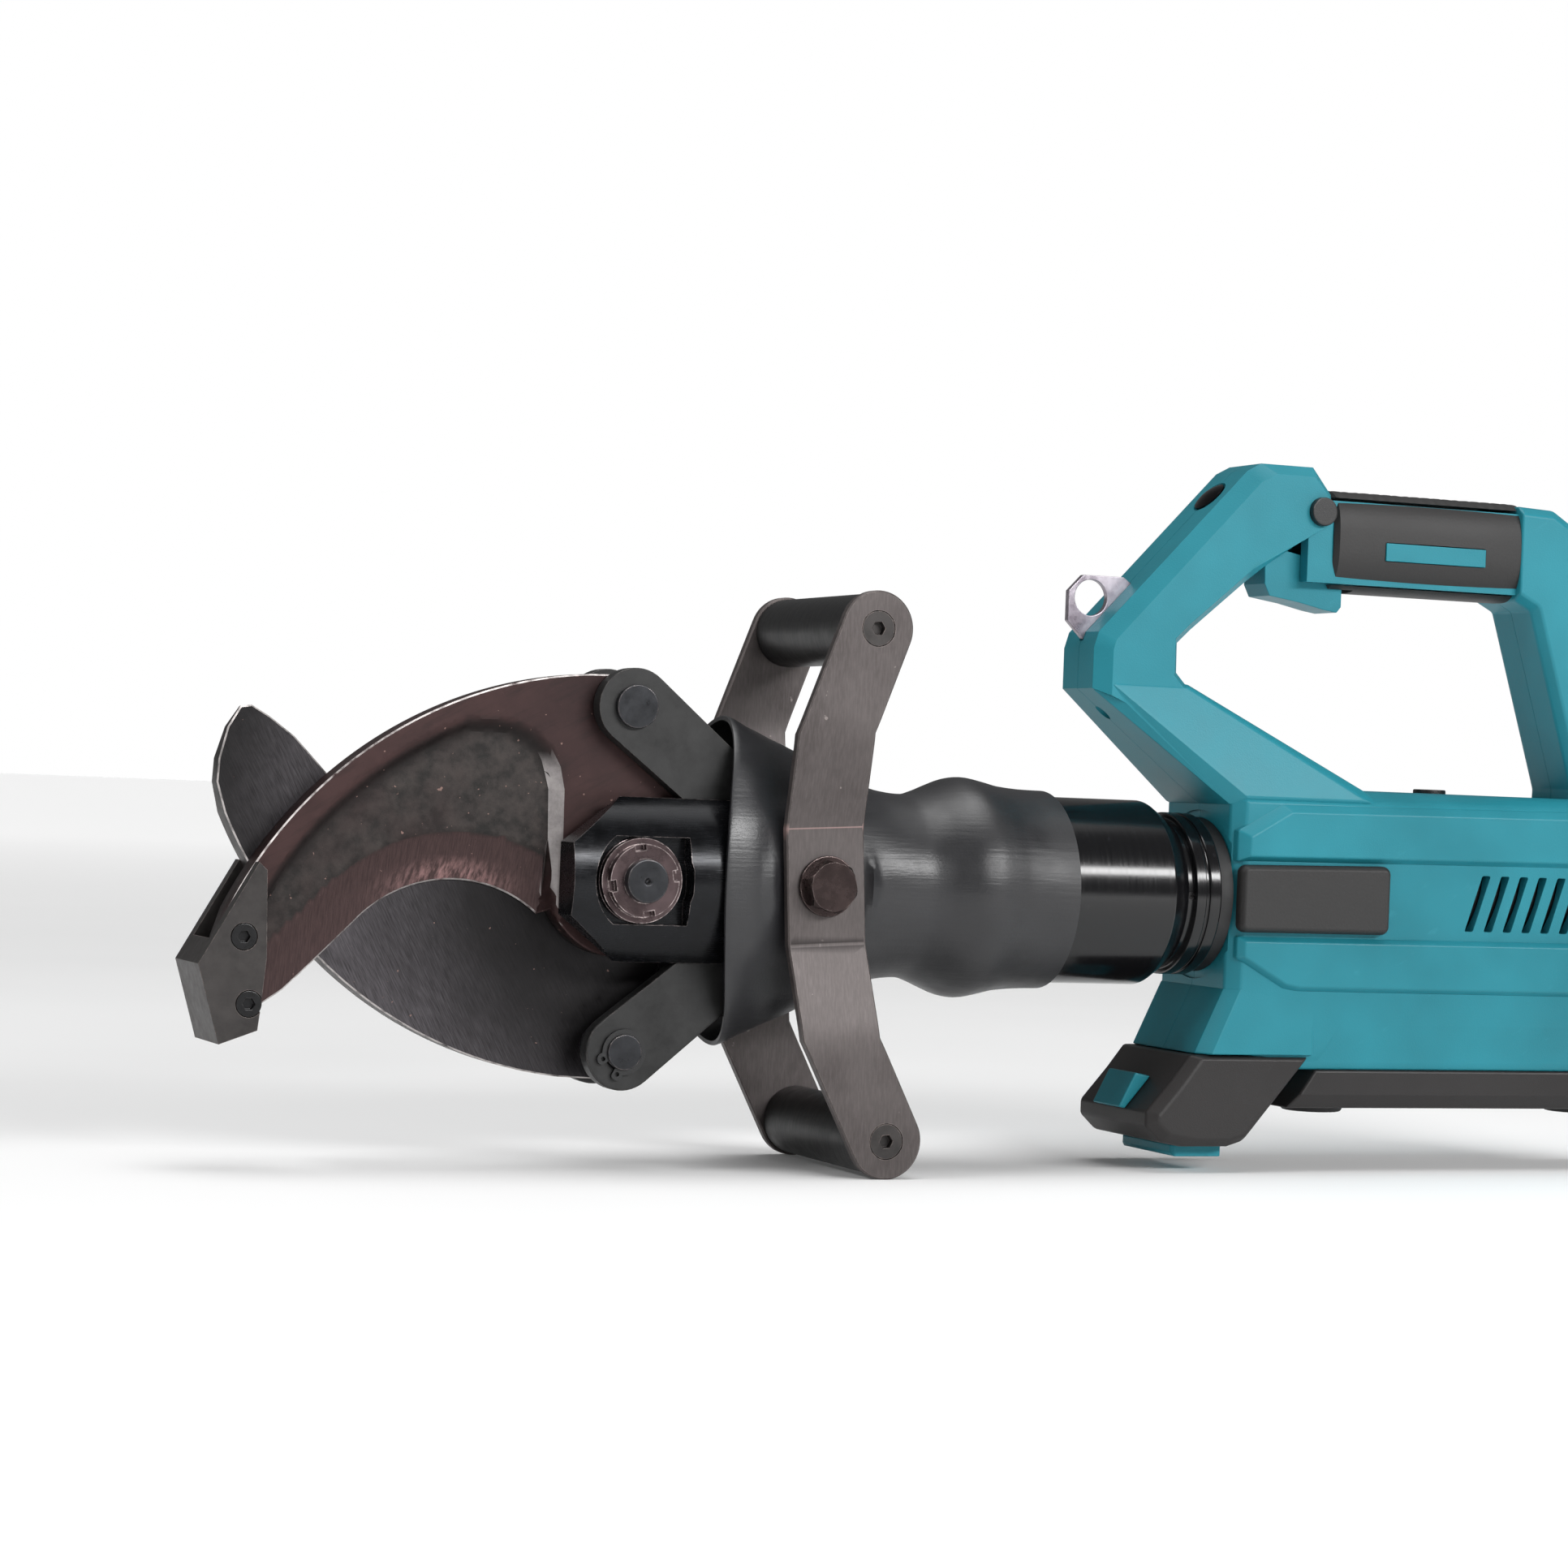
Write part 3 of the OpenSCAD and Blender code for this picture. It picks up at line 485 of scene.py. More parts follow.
def moulded(name, colour, roughness, grain=0.03, scale=1600, tint=0.12, specular=0.5):
    """Injection-moulded plastic: fine spark-eroded grain, faint tone drift and scuffs."""
    s = Shader(name, colour, roughness, specular=specular)
    drift = s.noise(14, 3)
    tone = s.mix(s.span(drift, 0.35, 0.65), shaded(colour, 1 - tint), shaded(colour, 1 + tint))
    scuff = s.span(s.noise(60, 8, 0.7, s.stretched((1, 1, 2.5), (0, 35, 0))), 0.62, 0.74)
    s.colour(s.mix(s.times(scuff, 0.35), tone, shaded(colour, 1.25, 0.015)))
    s.rough(s.math("ADD", s.span(drift, 0.3, 0.7, roughness - 0.05, roughness + 0.05),
                   s.times(scuff, 0.08)))
    s.bump(s.cells(scale), grain)
    return s.material


def rubber(name, colour, roughness=0.55, specular=0.4):
    s = Shader(name, colour, roughness, specular=specular)
    drift = s.noise(18, 5, 0.6)
    s.colour(s.mix(s.span(drift), shaded(colour, 0.78), shaded(colour, 1.3, 0.002)))
    s.rough(s.span(s.noise(40, 6), 0.3, 0.7, roughness - 0.1, roughness + 0.1))
    s.bump(s.noise(900, 3), 0.05)
    return s


def boot_rubber():
    s = rubber("boot_rubber", rgb(25, 25, 28), 0.42, 0.65)
    lines = s.noise(70, 3, 0.5, s.stretched((0.6, 1, 9)))
    s.bump(lines, 0.18, 0.6)
    s.bump(s.noise(30, 2), 0.8, 0.35)
    return s.material


def oxide_steel(name, colour, roughness, metallic=0.75, turn=None, wear=(150, 140, 138), depth=0.015,
                radius=0.35, scale=260):
    """Blackened steel with fine tool lines, mottled oxide and rubbed edges."""
    s = Shader(name, colour, roughness, metallic)
    stretch = s.stretched(turn or (1, 1, 1))
    lines = s.noise(scale, 5, 0.6, stretch)
    spots = s.noise(90, 6, 0.65)
    light = shaded(colour, 1.35)
    body = s.mix(s.span(spots, 0.35, 0.65), shaded(colour, 0.7), light)
    body = s.mix(s.span(lines, 0.35, 0.7, 0.0, 0.4), body, light)
    s.colour(s.mix(s.edges(radius), body, rgb(*wear)))
    s.rough(s.math("ADD", s.span(lines, 0.3, 0.7, roughness - 0.06, roughness + 0.06),
                   s.span(spots, 0.3, 0.7, -0.05, 0.07)))
    s.bump(lines, depth)
    return s.material


def jaw_steel(name, tone, ground):
    """Blade steel: brown oxide rim, mottled milled pocket, ground bevel and bright tool marks, with
    painted shade along the pocket rim and on the inner face, and a painted highlight on the rear ramp.
    """
    s = Shader(name, tone["rim"][0], 0.42, 0.6)
    mottle = s.noise(160, 8, 0.7)
    blotch = s.noise(28, 5, 0.6)
    streaks = s.noise(120, 4, 0.6, s.stretched((0.5, 1, 4), (0, 30, 0)))
    rim = s.mix(s.span(blotch, 0.35, 0.65), *tone["rim"])
    rim = s.mix(s.span(streaks, 0.5, 0.75, 0.0, 0.4), rim, tone["dark"])
    pocket = s.mix(s.span(mottle, 0.38, 0.66), *tone["pocket"])
    pocket = s.mix(s.span(blotch, 0.45, 0.7, 0.0, 0.5), pocket, tone["rim"][0])
    lines = s.noise(260, 4, 0.6, s.stretched((7, 1, 0.5), (0, ground, 0)))
    bevel = s.mix(s.span(lines), *tone["bevel"])
    flat = s.mix(s.span(lines, 0.3, 0.72), *tone["flat"])
    flat = s.mix(s.span(blotch, 0.4, 0.7, 0.0, 0.5), flat, tone["flat"][0])
    body = s.mix(s.mask("pocket"), rim, pocket)
    body = s.mix(s.mask("shade"), body, tone["dark"])
    # Painted highlight: the rear ramp face gets a light tone where it would catch the light.
    cast = s.mix(s.span(mottle), shaded(tone["ramp"], 0.5), tone["ramp"])
    body = s.mix(s.times(s.mask("ramp"), s.slope(0.6, 0.87)), body, cast)
    hatch = s.noise(260, 5, 0.65, s.stretched((2.2, 1, 0.6), (0, -14, 0)))
    specks = s.span(s.noise(520, 2, 0.4), 0.745, 0.77)
    worn = s.times(s.slope(0.45, 0.86), s.mask("edge"))
    # The inner face's darkening towards the pivot and the tip is painted shade, for the dark reflection
    # there.
    for amount, over in ((s.mask("bevel"), bevel), (s.mask("flat"), flat),
                         (s.times(s.mask("reflection_shade"), 0.9), tone["dark"]),
                         (s.times(s.mask("heat"), s.span(mottle, 0.3, 0.6)), rgb(132, 66, 22)),
                         (s.times(s.mask("marks"), s.span(hatch, 0.42, 0.66)), rgb(168, 130, 128)),
                         (s.times(specks, 0.6), rgb(150, 120, 112)),
                         (s.times(worn, s.span(s.noise(200, 4), 0.3, 0.55)), rgb(196, 190, 188))):
        body = s.mix(amount, body, over)
    s.colour(body)
    ground_area = s.math("ADD", s.mask("bevel"), s.mask("flat"))
    s.rough(s.math("SUBTRACT", s.span(mottle, start=0.36, end=0.54), s.times(ground_area, 0.09)))
    s.bump(s.times(mottle, s.mask("pocket")), 0.14)
    s.bump(s.times(lines, ground_area), 0.02)
    s.bump(s.times(hatch, s.mask("marks")), 0.1)
    s.bump(s.noise(900, 4, 0.6), 0.012)
    return s.material


def plate_steel():
    """Brushed guard plate: warm grey, clouded, with a pale line at one fold and painted shade lines at
    the other.
    """
    s = Shader("guard_steel", rgb(104, 96, 94), 0.46, 0.5)
    cloud = s.noise(22, 6, 0.62)
    lines = s.noise(240, 4, 0.6, s.stretched((6, 1, 0.8)))
    body = s.mix(s.span(cloud), rgb(66, 60, 59), rgb(90, 84, 83))
    body = s.mix(s.span(lines, 0.4, 0.75, 0.0, 0.35), body, rgb(110, 103, 102))
    dots = s.span(s.noise(240, 2, 0.4), 0.75, 0.78)
    body = s.mix(s.times(dots, 0.4), body, rgb(170, 160, 156))
    # A pale pinkish line is painted along the upper fold.
    body = s.mix(s.times(s.mask("pale_fold_line"), 0.7), body, rgb(176, 146, 142))
    # Painted shade: two dark lines along the lower fold crease.
    body = s.mix(s.times(s.mask("dent"), 0.8), body, rgb(34, 28, 28))
    s.colour(s.mix(s.times(s.edges(0.5), 0.6), body, rgb(160, 148, 144)))
    s.rough(s.span(cloud, 0.3, 0.7, 0.4, 0.54))
    s.bump(lines, 0.012)
    s.bump(s.noise(700, 3), 0.015)
    return s.material


def gloss_black():
    """Hard gloss coating over a turned cylinder."""
    s = Shader("gloss_black", rgb(13, 13, 15), 0.16)
    lines = s.noise(120, 3, 0.5, s.stretched((14, 0.4, 0.4)))
    dust = s.span(s.noise(300, 3, 0.5), 0.66, 0.76)
    s.colour(s.mix(s.times(dust, 0.2), rgb(13, 13, 15), rgb(60, 60, 66)))
    s.rough(s.span(lines, 0.3, 0.7, 0.13, 0.2))
    s.bump(lines, 0.006)
    return s.material


def plated():
    s = Shader("zinc_plate", rgb(158, 150, 158), 0.34, 0.85)
    cloud = s.noise(120, 6, 0.65)
    s.colour(s.mix(s.span(cloud, 0.35, 0.65), rgb(138, 130, 140), rgb(178, 172, 180)))
    s.rough(s.span(cloud, 0.3, 0.7, 0.26, 0.42))
    s.bump(s.noise(600, 3), 0.02)
    return s.material


def lamp_glass():
    s = Shader("lamp_lens", rgb(6, 6, 8), 0.08, 0.0, 0.22)
    s.colour(s.mix(s.span(s.noise(200, 3), 0.4, 0.7), rgb(4, 4, 6), rgb(12, 10, 12)))
    s.rough(s.span(s.noise(500, 2), 0.3, 0.7, 0.04, 0.1))
    s.bump(s.noise(80, 2), 0.02)
    return s.material


def bright_steel(name, colour=(170, 172, 178), turn=(1, 12, 12)):
    s = Shader(name, rgb(*colour), 0.25, 1.0)
    lines = s.noise(160, 4, 0.6, s.stretched(turn))
    shade = tuple(int(c * 0.8) for c in colour)
    s.colour(s.mix(s.span(lines), rgb(*shade), rgb(*colour)))
    s.rough(s.span(lines, 0.3, 0.7, 0.2, 0.34))
    s.bump(lines, 0.01)
    return s.material


def pale_floor():
    """Matt white paper that glows a little far away, so that it meets the white room."""
    s = Shader("floor_paint", rgb(240, 240, 240), 0.6, 0.0, 0.2)
    s.colour(s.mix(s.noise(3, 2), rgb(238, 238, 238), rgb(242, 242, 242)))
    reach = s.node("VectorMath", {"operation": "LENGTH"})
    s.feed(reach.inputs[0], s.where)
    s.bsdf.inputs["Emission Color"].default_value = (1, 1, 1, 1)
    s.feed(s.bsdf.inputs["Emission Strength"], s.span(reach.outputs["Value"], 1.5, 6.0, 0.05, 0.3))
    return s.material


# Jaw tones: ramp is the light tone of the painted highlight on the rear ramp face; dark serves the oxide
# streaks and the painted shade.
UPPER_TONES = {"rim": (rgb(42, 26, 26), rgb(60, 40, 39)), "dark": rgb(20, 16, 16),
               "pocket": (rgb(32, 30, 29), rgb(60, 54, 52)), "ramp": rgb(176, 170, 169),
               "bevel": (rgb(54, 39, 39), rgb(74, 56, 55)), "flat": (rgb(44, 40, 40), rgb(66, 60, 60))}
LOWER_TONES = {"rim": (rgb(44, 40, 40), rgb(64, 58, 57)), "dark": rgb(14, 12, 13),
               "pocket": (rgb(38, 36, 35), rgb(60, 56, 54)), "ramp": rgb(120, 116, 114),
               "bevel": (rgb(66, 62, 62), rgb(92, 86, 86)), "flat": (rgb(46, 43, 45), rgb(94, 90, 94))}

MATERIALS = {
    "teal": moulded("teal_plastic", rgb(34, 124, 138), 0.4, specular=0.28),
    "overmould": moulded("overmould_rubber", rgb(28, 27, 27), 0.55, 0.05, 900),
    "dark_plastic": moulded("dark_plastic", rgb(42, 40, 40), 0.42, specular=0.3),
    "black_plastic": moulded("black_plastic", rgb(24, 24, 25), 0.4),
    "boot": boot_rubber(),
    "black_rubber": rubber("black_rubber", rgb(30, 30, 31)).material,
    "upper_blade": jaw_steel("upper_blade_steel", UPPER_TONES, 0),
    "lower_blade": jaw_steel("lower_blade_steel", LOWER_TONES, 28),
    "head": oxide_steel("head_steel", rgb(18, 19, 22), 0.23, 0.6, (0.5, 8, 8)),
    "link": oxide_steel("link_steel", rgb(43, 43, 43), 0.46, 0.5),
    "bracket": oxide_steel("bracket_steel", rgb(54, 51, 50), 0.44, 0.5, wear=(165, 150, 145)),
    "pin": oxide_steel("pin_steel", rgb(42, 43, 46), 0.32, 0.6, radius=0.7),
    "nut": oxide_steel("nut_steel", rgb(76, 64, 65), 0.28, 0.85, wear=(220, 205, 203), radius=0.7),
    "bolt": oxide_steel("bolt_steel", rgb(56, 46, 45), 0.26, 0.8, wear=(180, 165, 160)),
    "screw": oxide_steel("screw_steel", rgb(30, 30, 31), 0.3, 0.6, wear=(110, 106, 106)),
    "bar": oxide_steel("bar_coating", rgb(13, 13, 14), 0.42, 0.0, (0.6, 4, 0.6)),
    "guard": plate_steel(),
    "gloss": gloss_black(),
    "zinc": plated(),
    "lens": lamp_glass(),
    "bright": bright_steel("ground_steel"),
    "alloy": bright_steel("cast_alloy", (140, 142, 146), (1, 1, 1)),
    "copper": bright_steel("rotor_copper", (150, 104, 72)),
    "board": moulded("board_resin", rgb(24, 84, 52), 0.4),
}


def finish(obj, material, body=None, replaces=()):
    obj.data.materials.clear()
    obj.data.materials.append(MATERIALS[material])
    if body:
        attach(obj, body)
    if replaces:
        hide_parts(*replaces)
    return obj


# ------------------------------------------------------------------ jaws

PIVOT_X = -75
JAW_T = 12
FACE_GAP = 0.05
POCKET_D = 3.5
BEVEL_W = 19
LAND = 1.5
EDGE_C, EDGE_R = (-66, -56), 53.5
BACK_C, BACK_R = (-5, -90), 170
RIM_W = 8
RAMP_W = 5.5
WALL = [(-55, 60.6), (-46, 59.6), (-38, 56), (-31.5, 50), (-27.5, 43), (-25.5, 34), (-25, -20),
        (-24.8, -30)]
STRAIGHT_EDGE = [(-122.1, -36.4), (-132.5, -46.4), (-142.7, -53.3)]


def jaw_outline(extra):
    blade = [(-150.1, -57.2), (-154.5, -56.4), (-158.9, -48.2), (-161.5, -36), (-161.7, -27)]
    return (turned_by(extra, blade + arc(BACK_C, BACK_R, 154, 94, 40))
            + arc((0, 67.5), 12.5, 95, -15, 18)
            + arc((0, 0), 31, 12, -155, 36)
            + turned_by(extra, arc(EDGE_C, EDGE_R, 50, 138, 40) + STRAIGHT_EDGE))


def jaw_fields(points):
    """Thickness of the jaw about its pivot, and the masks of its worked areas, of the painted shade along
    the pocket rim and of the painted highlight on the rear ramp.
    """
    edge_line = arc(EDGE_C, EDGE_R, 50, 138, 40) + STRAIGHT_EDGE + [(-150.1, -57.2)]
    from_edge = distance(points, edge_line, False)
    rim_line = arc(BACK_C, BACK_R - RIM_W, 156, 112, 40)
    milled = rim_line + WALL + [(-60, -60), (-170, -90), (-175, -30)]
    within = inside(points, milled)
    from_rim = distance(points, rim_line + WALL[:4], False)
    from_wall = distance(points, WALL[3:], False)
    rear = np.clip(from_wall / RAMP_W, 0, 1) * within
    side = np.clip(from_rim / RAMP_W, 0, 1) * within
    pocket = np.minimum(side * side * (3 - 2 * side), rear)
    floor_t = JAW_T - POCKET_D
    thick = JAW_T - POCKET_D * pocket
    cone = LAND + (floor_t - LAND) * from_edge / BEVEL_W
    hollow = 0.9 * np.sin(np.pi * np.clip(from_edge / BEVEL_W, 0, 1))
    near_edge = (from_edge < BEVEL_W) & within
    thick = np.where(near_edge, np.minimum(thick, cone - hollow + JAW_T * (1 - rear)), thick)
    angle = np.degrees(np.arctan2(points[:, 1] - EDGE_C[1], points[:, 0] - EDGE_C[0]))
    marks = np.clip((10 - from_edge) / 6, 0, 1) * np.clip(1.2 - np.abs(angle - 93) / 30, 0, 1)
    shade = np.clip(1 - np.abs(from_rim - RAMP_W * 0.6) / 6, 0, 1) * within
    # The shade mask is painted shade along the pocket rim; the ramp mask places the painted highlight on
    # the rear ramp face.
    masks = {"pocket": pocket * ~near_edge, "marks": marks * 0.7, "shade": shade * 0.75,
             "bevel": near_edge * (from_wall > RAMP_W),
             "ramp": np.clip((48 - points[:, 1]) / 7, 0, 1) * (points[:, 0] > -36) * within}
    return thick, masks


def jaw(name, extra, side, material, body):
    """side -1 is the upper jaw on the near side, 1 the lower jaw on the far side, upside down."""
    def local(points):
        moved = points * np.array([1, 1 if side < 0 else -1]) - np.array([PIVOT_X, 0])
        return np.array(turned_by(-extra, moved.tolist()))

    def world(points):
        return [(x + PIVOT_X, z if side < 0 else -z) for x, z in points]

    def outer(points):
        return side * (FACE_GAP + jaw_fields(local(points))[0])

    def inner(points):
        return np.full(len(points), side * FACE_GAP)

    outline = world(jaw_outline(extra))
    holes = [arc((PIVOT_X, 0), 12.1, 0, 352.5, 47), arc(world([(0, 67.5)])[0], 7.1, 0, 348, 29)]
    lines = [arc(EDGE_C, EDGE_R + BEVEL_W, 62, 132, 34), WALL[1:6] + [(-25, -11)],
             [(-49, 54), (-41, 51), (-36, 46.3), (-32.9, 41), (-31, 34), (-30.5, 15), (-30.5, -8)],
             arc(BACK_C, BACK_R - RIM_W, 148, 113, 34),
             arc(BACK_C, BACK_R - RIM_W - RAMP_W, 147, 115, 34)]
    creases = [world(turned_by(extra, line)) for line in lines]
    obj = relief(name, side, outline, holes, outer, inner, 1.9, creases)
    points, depth = side_points(obj)
    places = local(points)
    on_outer = np.abs(depth) > 0.8
    for key, values in jaw_fields(places)[1].items():
        mask(obj, key, values * on_outer)
    rim = distance(points, outline)
    reach = np.hypot(places[:, 0], places[:, 1])
    mask(obj, "edge", (rim < 1.2) * (reach > 35))
    mask(obj, "flat", (~on_outer) * (rim > 0.5))
    mask(obj, "heat", np.clip((34 - reach) / 1.5, 0, 1) * (rim < 0.3) * (places[:, 1] < 8))
    # Painted shade: the inner face darkens towards the pivot and towards the tip.
    mask(obj, "reflection_shade", np.clip(np.maximum((106 - reach) / 48, (reach - 112) / 50), 0, 1) * ~on_outer)
    smooth(obj, 28, False)
    return finish(obj, material, body, [name])


def jaws():
    upper = jaw("upper_jaw", 0, -1, "upper_blade", "upper_jaw")
    upper.name = "upper_blade"
    lower = jaw("lower_jaw", 1.8, 1, "lower_blade", "lower_jaw")
    lower.name = "lower_blade"


# ------------------------------------------------------------------ forked head

NOSE_X, NOSE_BACK, FORK_END, TUBE_X, GLAND_X = -104.3, -80, -33, 59.95, 74
FORK_R, NECK_DOWN_R, SLOT_HALF = 38.5, 33, 21
NUT_SEAT, BOLT_SEAT, SIDE_END = 29.5, 31.5, 45


def nut_recess(side):
    low, high = reach_y(side, NUT_SEAT, SIDE_END)
    round_end = rod("recess", "Y", 20.5, low, high, (PIVOT_X, 0), 96)
    join(round_end, block("recess_end", (PIVOT_X, low, -20), (PIVOT_X + 19, high, 20)))
    keep = block("recess_keep", (PIVOT_X - 22, low - 1, -17.1), (PIVOT_X + 20, high + 1, 17.1))
    return combine(round_end, [keep], "INTERSECT")


def fork():
    """Turned head with its slot, bevelled nose, nut recesses and bolt seats."""
    obj = rod("fork_head", "X", FORK_R, NOSE_X, FORK_END, (0, 0), 180)
    rows = [(NOSE_X, -14, 0), (NOSE_X, 14, 0), (NOSE_BACK, 33, 0), (NOSE_BACK, 40, 0),
            (FORK_END, 40, 0), (FORK_END, -40, 0), (NOSE_BACK, -40, 0), (NOSE_BACK, -33, 0)]
    combine(obj, [prism("fork_side", rows, 40, 1)], "INTERSECT")
    join(obj, rod("fork_neck", "X", NECK_DOWN_R, FORK_END - 1, TUBE_X, (0, 0), 180),
         rod("gland", "X", 30, TUBE_X - 1, GLAND_X, (0, 0), 120))
    soften(obj, 0.6, 3, 28)
    cuts = [block("slot", (NOSE_X - 1, -SLOT_HALF, -42), (58, SLOT_HALF, 42)),
            rod("rod_bore", "X", 11.06, 57, 75, (0, 0)), rod("seal_bore", "X", 14, 69, 75, (0, 0))]
    for side in (-1, 1):
        cuts.append(nut_recess(side))
        for radius, near, x in ((12.05, 10, PIVOT_X), (6.05, 10, 0), (9.6, BOLT_SEAT, 0)):
            cuts.append(rod("hole", "Y", radius, *reach_y(side, near, SIDE_END), (x, 0), 72))
    cut(obj, *cuts)
    smooth(obj, 28)
    return finish(obj, "head", "head", ["yoke"])


# ------------------------------------------------------------------ boot and guard

# Boot stations: x, half width, half height, forward bow of its sides
BOOT = [(-30, 41.6, 66, 12), (-22, 40.8, 62.3, 9), (-12, 36, 58, 5), (0, 35.7, 53, 0),
        (12, 35.7, 47.5, 0), (24, 35.8, 42.2, 0), (36, 36, 38.6, 0), (49, 37, 37.4, 0),
        (56, 39.2, 39.4, 0), (63, 42.3, 42.3, 0), (69, 44.5, 44.5, 0), (75, 45.2, 45.2, 0),
        (82, 44, 44, 0), (90, 42.2, 42.2, 0), (100, 41.2, 41.2, 0), (112, 40.9, 40.9, 0)]
BOOT_SKIN = 2.1
BUSH_R = 10
MOUTH_END = -11


def boot_station(x):
    """Smooth stations between the listed ones (Catmull-Rom)."""
    rows = [np.array(r, float) for r in BOOT]
    i = max(k for k in range(len(rows) - 1) if rows[k][0] <= x)
    p = [rows[max(0, min(len(rows) - 1, i + k))] for k in (-1, 0, 1, 2)]
    t = (x - p[1][0]) / (p[2][0] - p[1][0])
    return 0.5 * (2 * p[1] + (p[2] - p[0]) * t + (2 * p[0] - 5 * p[1] + 4 * p[2] - p[3]) * t * t
                  + (3 * p[1] - p[0] - 3 * p[2] + p[3]) * t ** 3)


def boot_point(x, angle, skin):
    wide, tall, bow = boot_station(x)[1:]
    c, s = math.cos(angle), math.sin(angle)
    px = x - bow * c * c
    y, z = (wide - skin) * c, (tall - skin) * s
    dent = math.exp(-((abs(z) - 37) / 7) ** 2) * math.exp(-((x + 8) / 16) ** 2)
    z *= 1 - 0.05 * dent
    y *= 1 - 0.05 * dent
    reach = math.hypot(px, z)
    boss = math.exp(-((reach - 21) / 3.6) ** 2) * 2.6 if skin == 0 else 0
    if abs(px) < 18.5:
        boss = min(boss, 0)
    y += math.copysign(boss * min(1, max(0, (abs(px) - 18.5) / 2.5)), c) * (abs(c) > 0.3)
    return px, y, z


def boot():
    sides = 120
    last = BOOT[-1][0] - 0.01
    stops = [BOOT[0][0] + (last - BOOT[0][0]) * i / 72 for i in range(73)]
    lip = [(x, BOOT_SKIN * k) for x, k in ((stops[0], 0.12), (stops[0], 0.5), (stops[0], 0.88))]
    path = [(x, 0) for x in stops] + [(last, BOOT_SKIN)]
    path += [(x, BOOT_SKIN) for x in reversed(stops[:-1])] + list(reversed(lip))
    bm = bmesh.new()
    rings = []
    for number, (x, skin) in enumerate(path):
        push = 0.7 if number > len(path) - 4 else 0
        ring = []
        for i in range(sides):
            px, y, z = boot_point(x, 2 * math.pi * i / sides, skin)
            ring.append(bm.verts.new(place((px - push, y, z))))
        rings.append(ring)
    bridge(bm, rings + rings[:1])
    obj = to_object(bm, "boot_skin")
    cut(obj, rod("bush_hole", "Y", BUSH_R, -60, 60, (0, 0)))
    mouth = copy_of(obj, "boot_mouth")
    combine(obj, [block("rear_part", (MOUTH_END, -70, -80), (130, 70, 80))], "INTERSECT")
    combine(mouth, [block("front_part", (-70, -70, -80), (MOUTH_END, 70, 80))], "INTERSECT")
    for piece, replaced in ((obj, ["rubber_boot"]), (mouth, [])):
        smooth(piece, 50, False)
        finish(piece, "boot", "head", replaced)
    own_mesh(mouth)


GUARD_Y = 48.8
MID_Y = 40.5
PLATE_T = 4.5
FOLDS = (23, 60)
FOLD_SOFT = (0.8, 7)
GUARD_HALF = 16.5
GUARD_SHIFT = 2.3
BAR = (20.4, 101)
BAR_END_R = 15
LEAN = 3.33


def stepped(points, step):
    """Closed outline with no side longer than step."""
    rows = []
    for a, b in zip(points, points[1:] + points[:1]):
        count = max(1, round(math.dist(a, b) / step))
        rows += [(a[0] + (b[0] - a[0]) * k / count, a[1] + (b[1] - a[1]) * k / count)
                 for k in range(count)]
    return rows


def guard_plate(name, side, node):
    lean = math.degrees(math.atan2(BAR[0] - GUARD_SHIFT, BAR[1] - FOLDS[1]))
    half = [(-GUARD_HALF, FOLDS[0]), (GUARD_SHIFT - GUARD_HALF, FOLDS[1])]
    half += arc(BAR, BAR_END_R, 180 - lean, -lean, 28)
    half += [(GUARD_SHIFT + GUARD_HALF, FOLDS[1]), (GUARD_HALF, FOLDS[0])]
    outline = half + [(x, -z) for x, z in reversed(half)]
    turned = turned_by(LEAN, stepped(outline, 2.5))
    holes = [arc((0, 0), 6.4, 0, 345, 23)]
    holes += [arc(turned_by(LEAN, [(BAR[0], s * BAR[1])])[0], 7.2, 0, 348, 29) for s in (-1, 1)]

    slope = (GUARD_Y - MID_Y) / (FOLDS[1] - FOLDS[0])

    def plane(points):
        z = np.abs(np.array(turned_by(-LEAN, points.tolist()))[:, 1])
        ramp = np.clip(z - FOLDS[0], 0, FOLDS[1] - FOLDS[0]) * slope
        for fold, soft, sign in zip(FOLDS, FOLD_SOFT, (1, -1)):
            near = np.clip(1 - np.abs(z - fold) / soft, 0, 1)
            ramp = ramp + sign * slope * soft * near ** 2 / 4
        return MID_Y + ramp

    def outer(points):
        return side * np.minimum(plane(points), GUARD_Y)

    def inner(points):
        return side * (np.minimum(plane(points), GUARD_Y) - PLATE_T)

    creases = []
    for fold, soft in zip(FOLDS, FOLD_SOFT):
        shift = GUARD_SHIFT * (fold - FOLDS[0]) / (FOLDS[1] - FOLDS[0])
        for off in (-1, -0.5, 0, 0.5, 1):
            for z in (fold + off * soft, -fold + off * soft):
                ends = [(shift - GUARD_HALF + 1, z), (shift, z), (shift + GUARD_HALF - 1, z)]
                creases.append(turned_by(LEAN, ends))
    obj = relief(name, side, turned, holes, outer, inner, 2.6, creases)
    z = np.array(turned_by(-LEAN, side_points(obj)[0].tolist()))[:, 1]
    # A pale pinkish line is painted along the upper fold.
    mask(obj, "pale_fold_line", np.clip(1 - np.abs(z - FOLDS[0]) / 0.4, 0, 1))
    # Painted shade: two dark lines along the lower fold crease.
    mask(obj, "dent", np.clip(1 - np.abs(np.abs(z + FOLDS[0]) - 0.8) / 0.4, 0, 1))
    smooth(obj, 40, False)
    return finish(obj, "guard", "head", [node])


# ------------------------------------------------------------------ cylinder

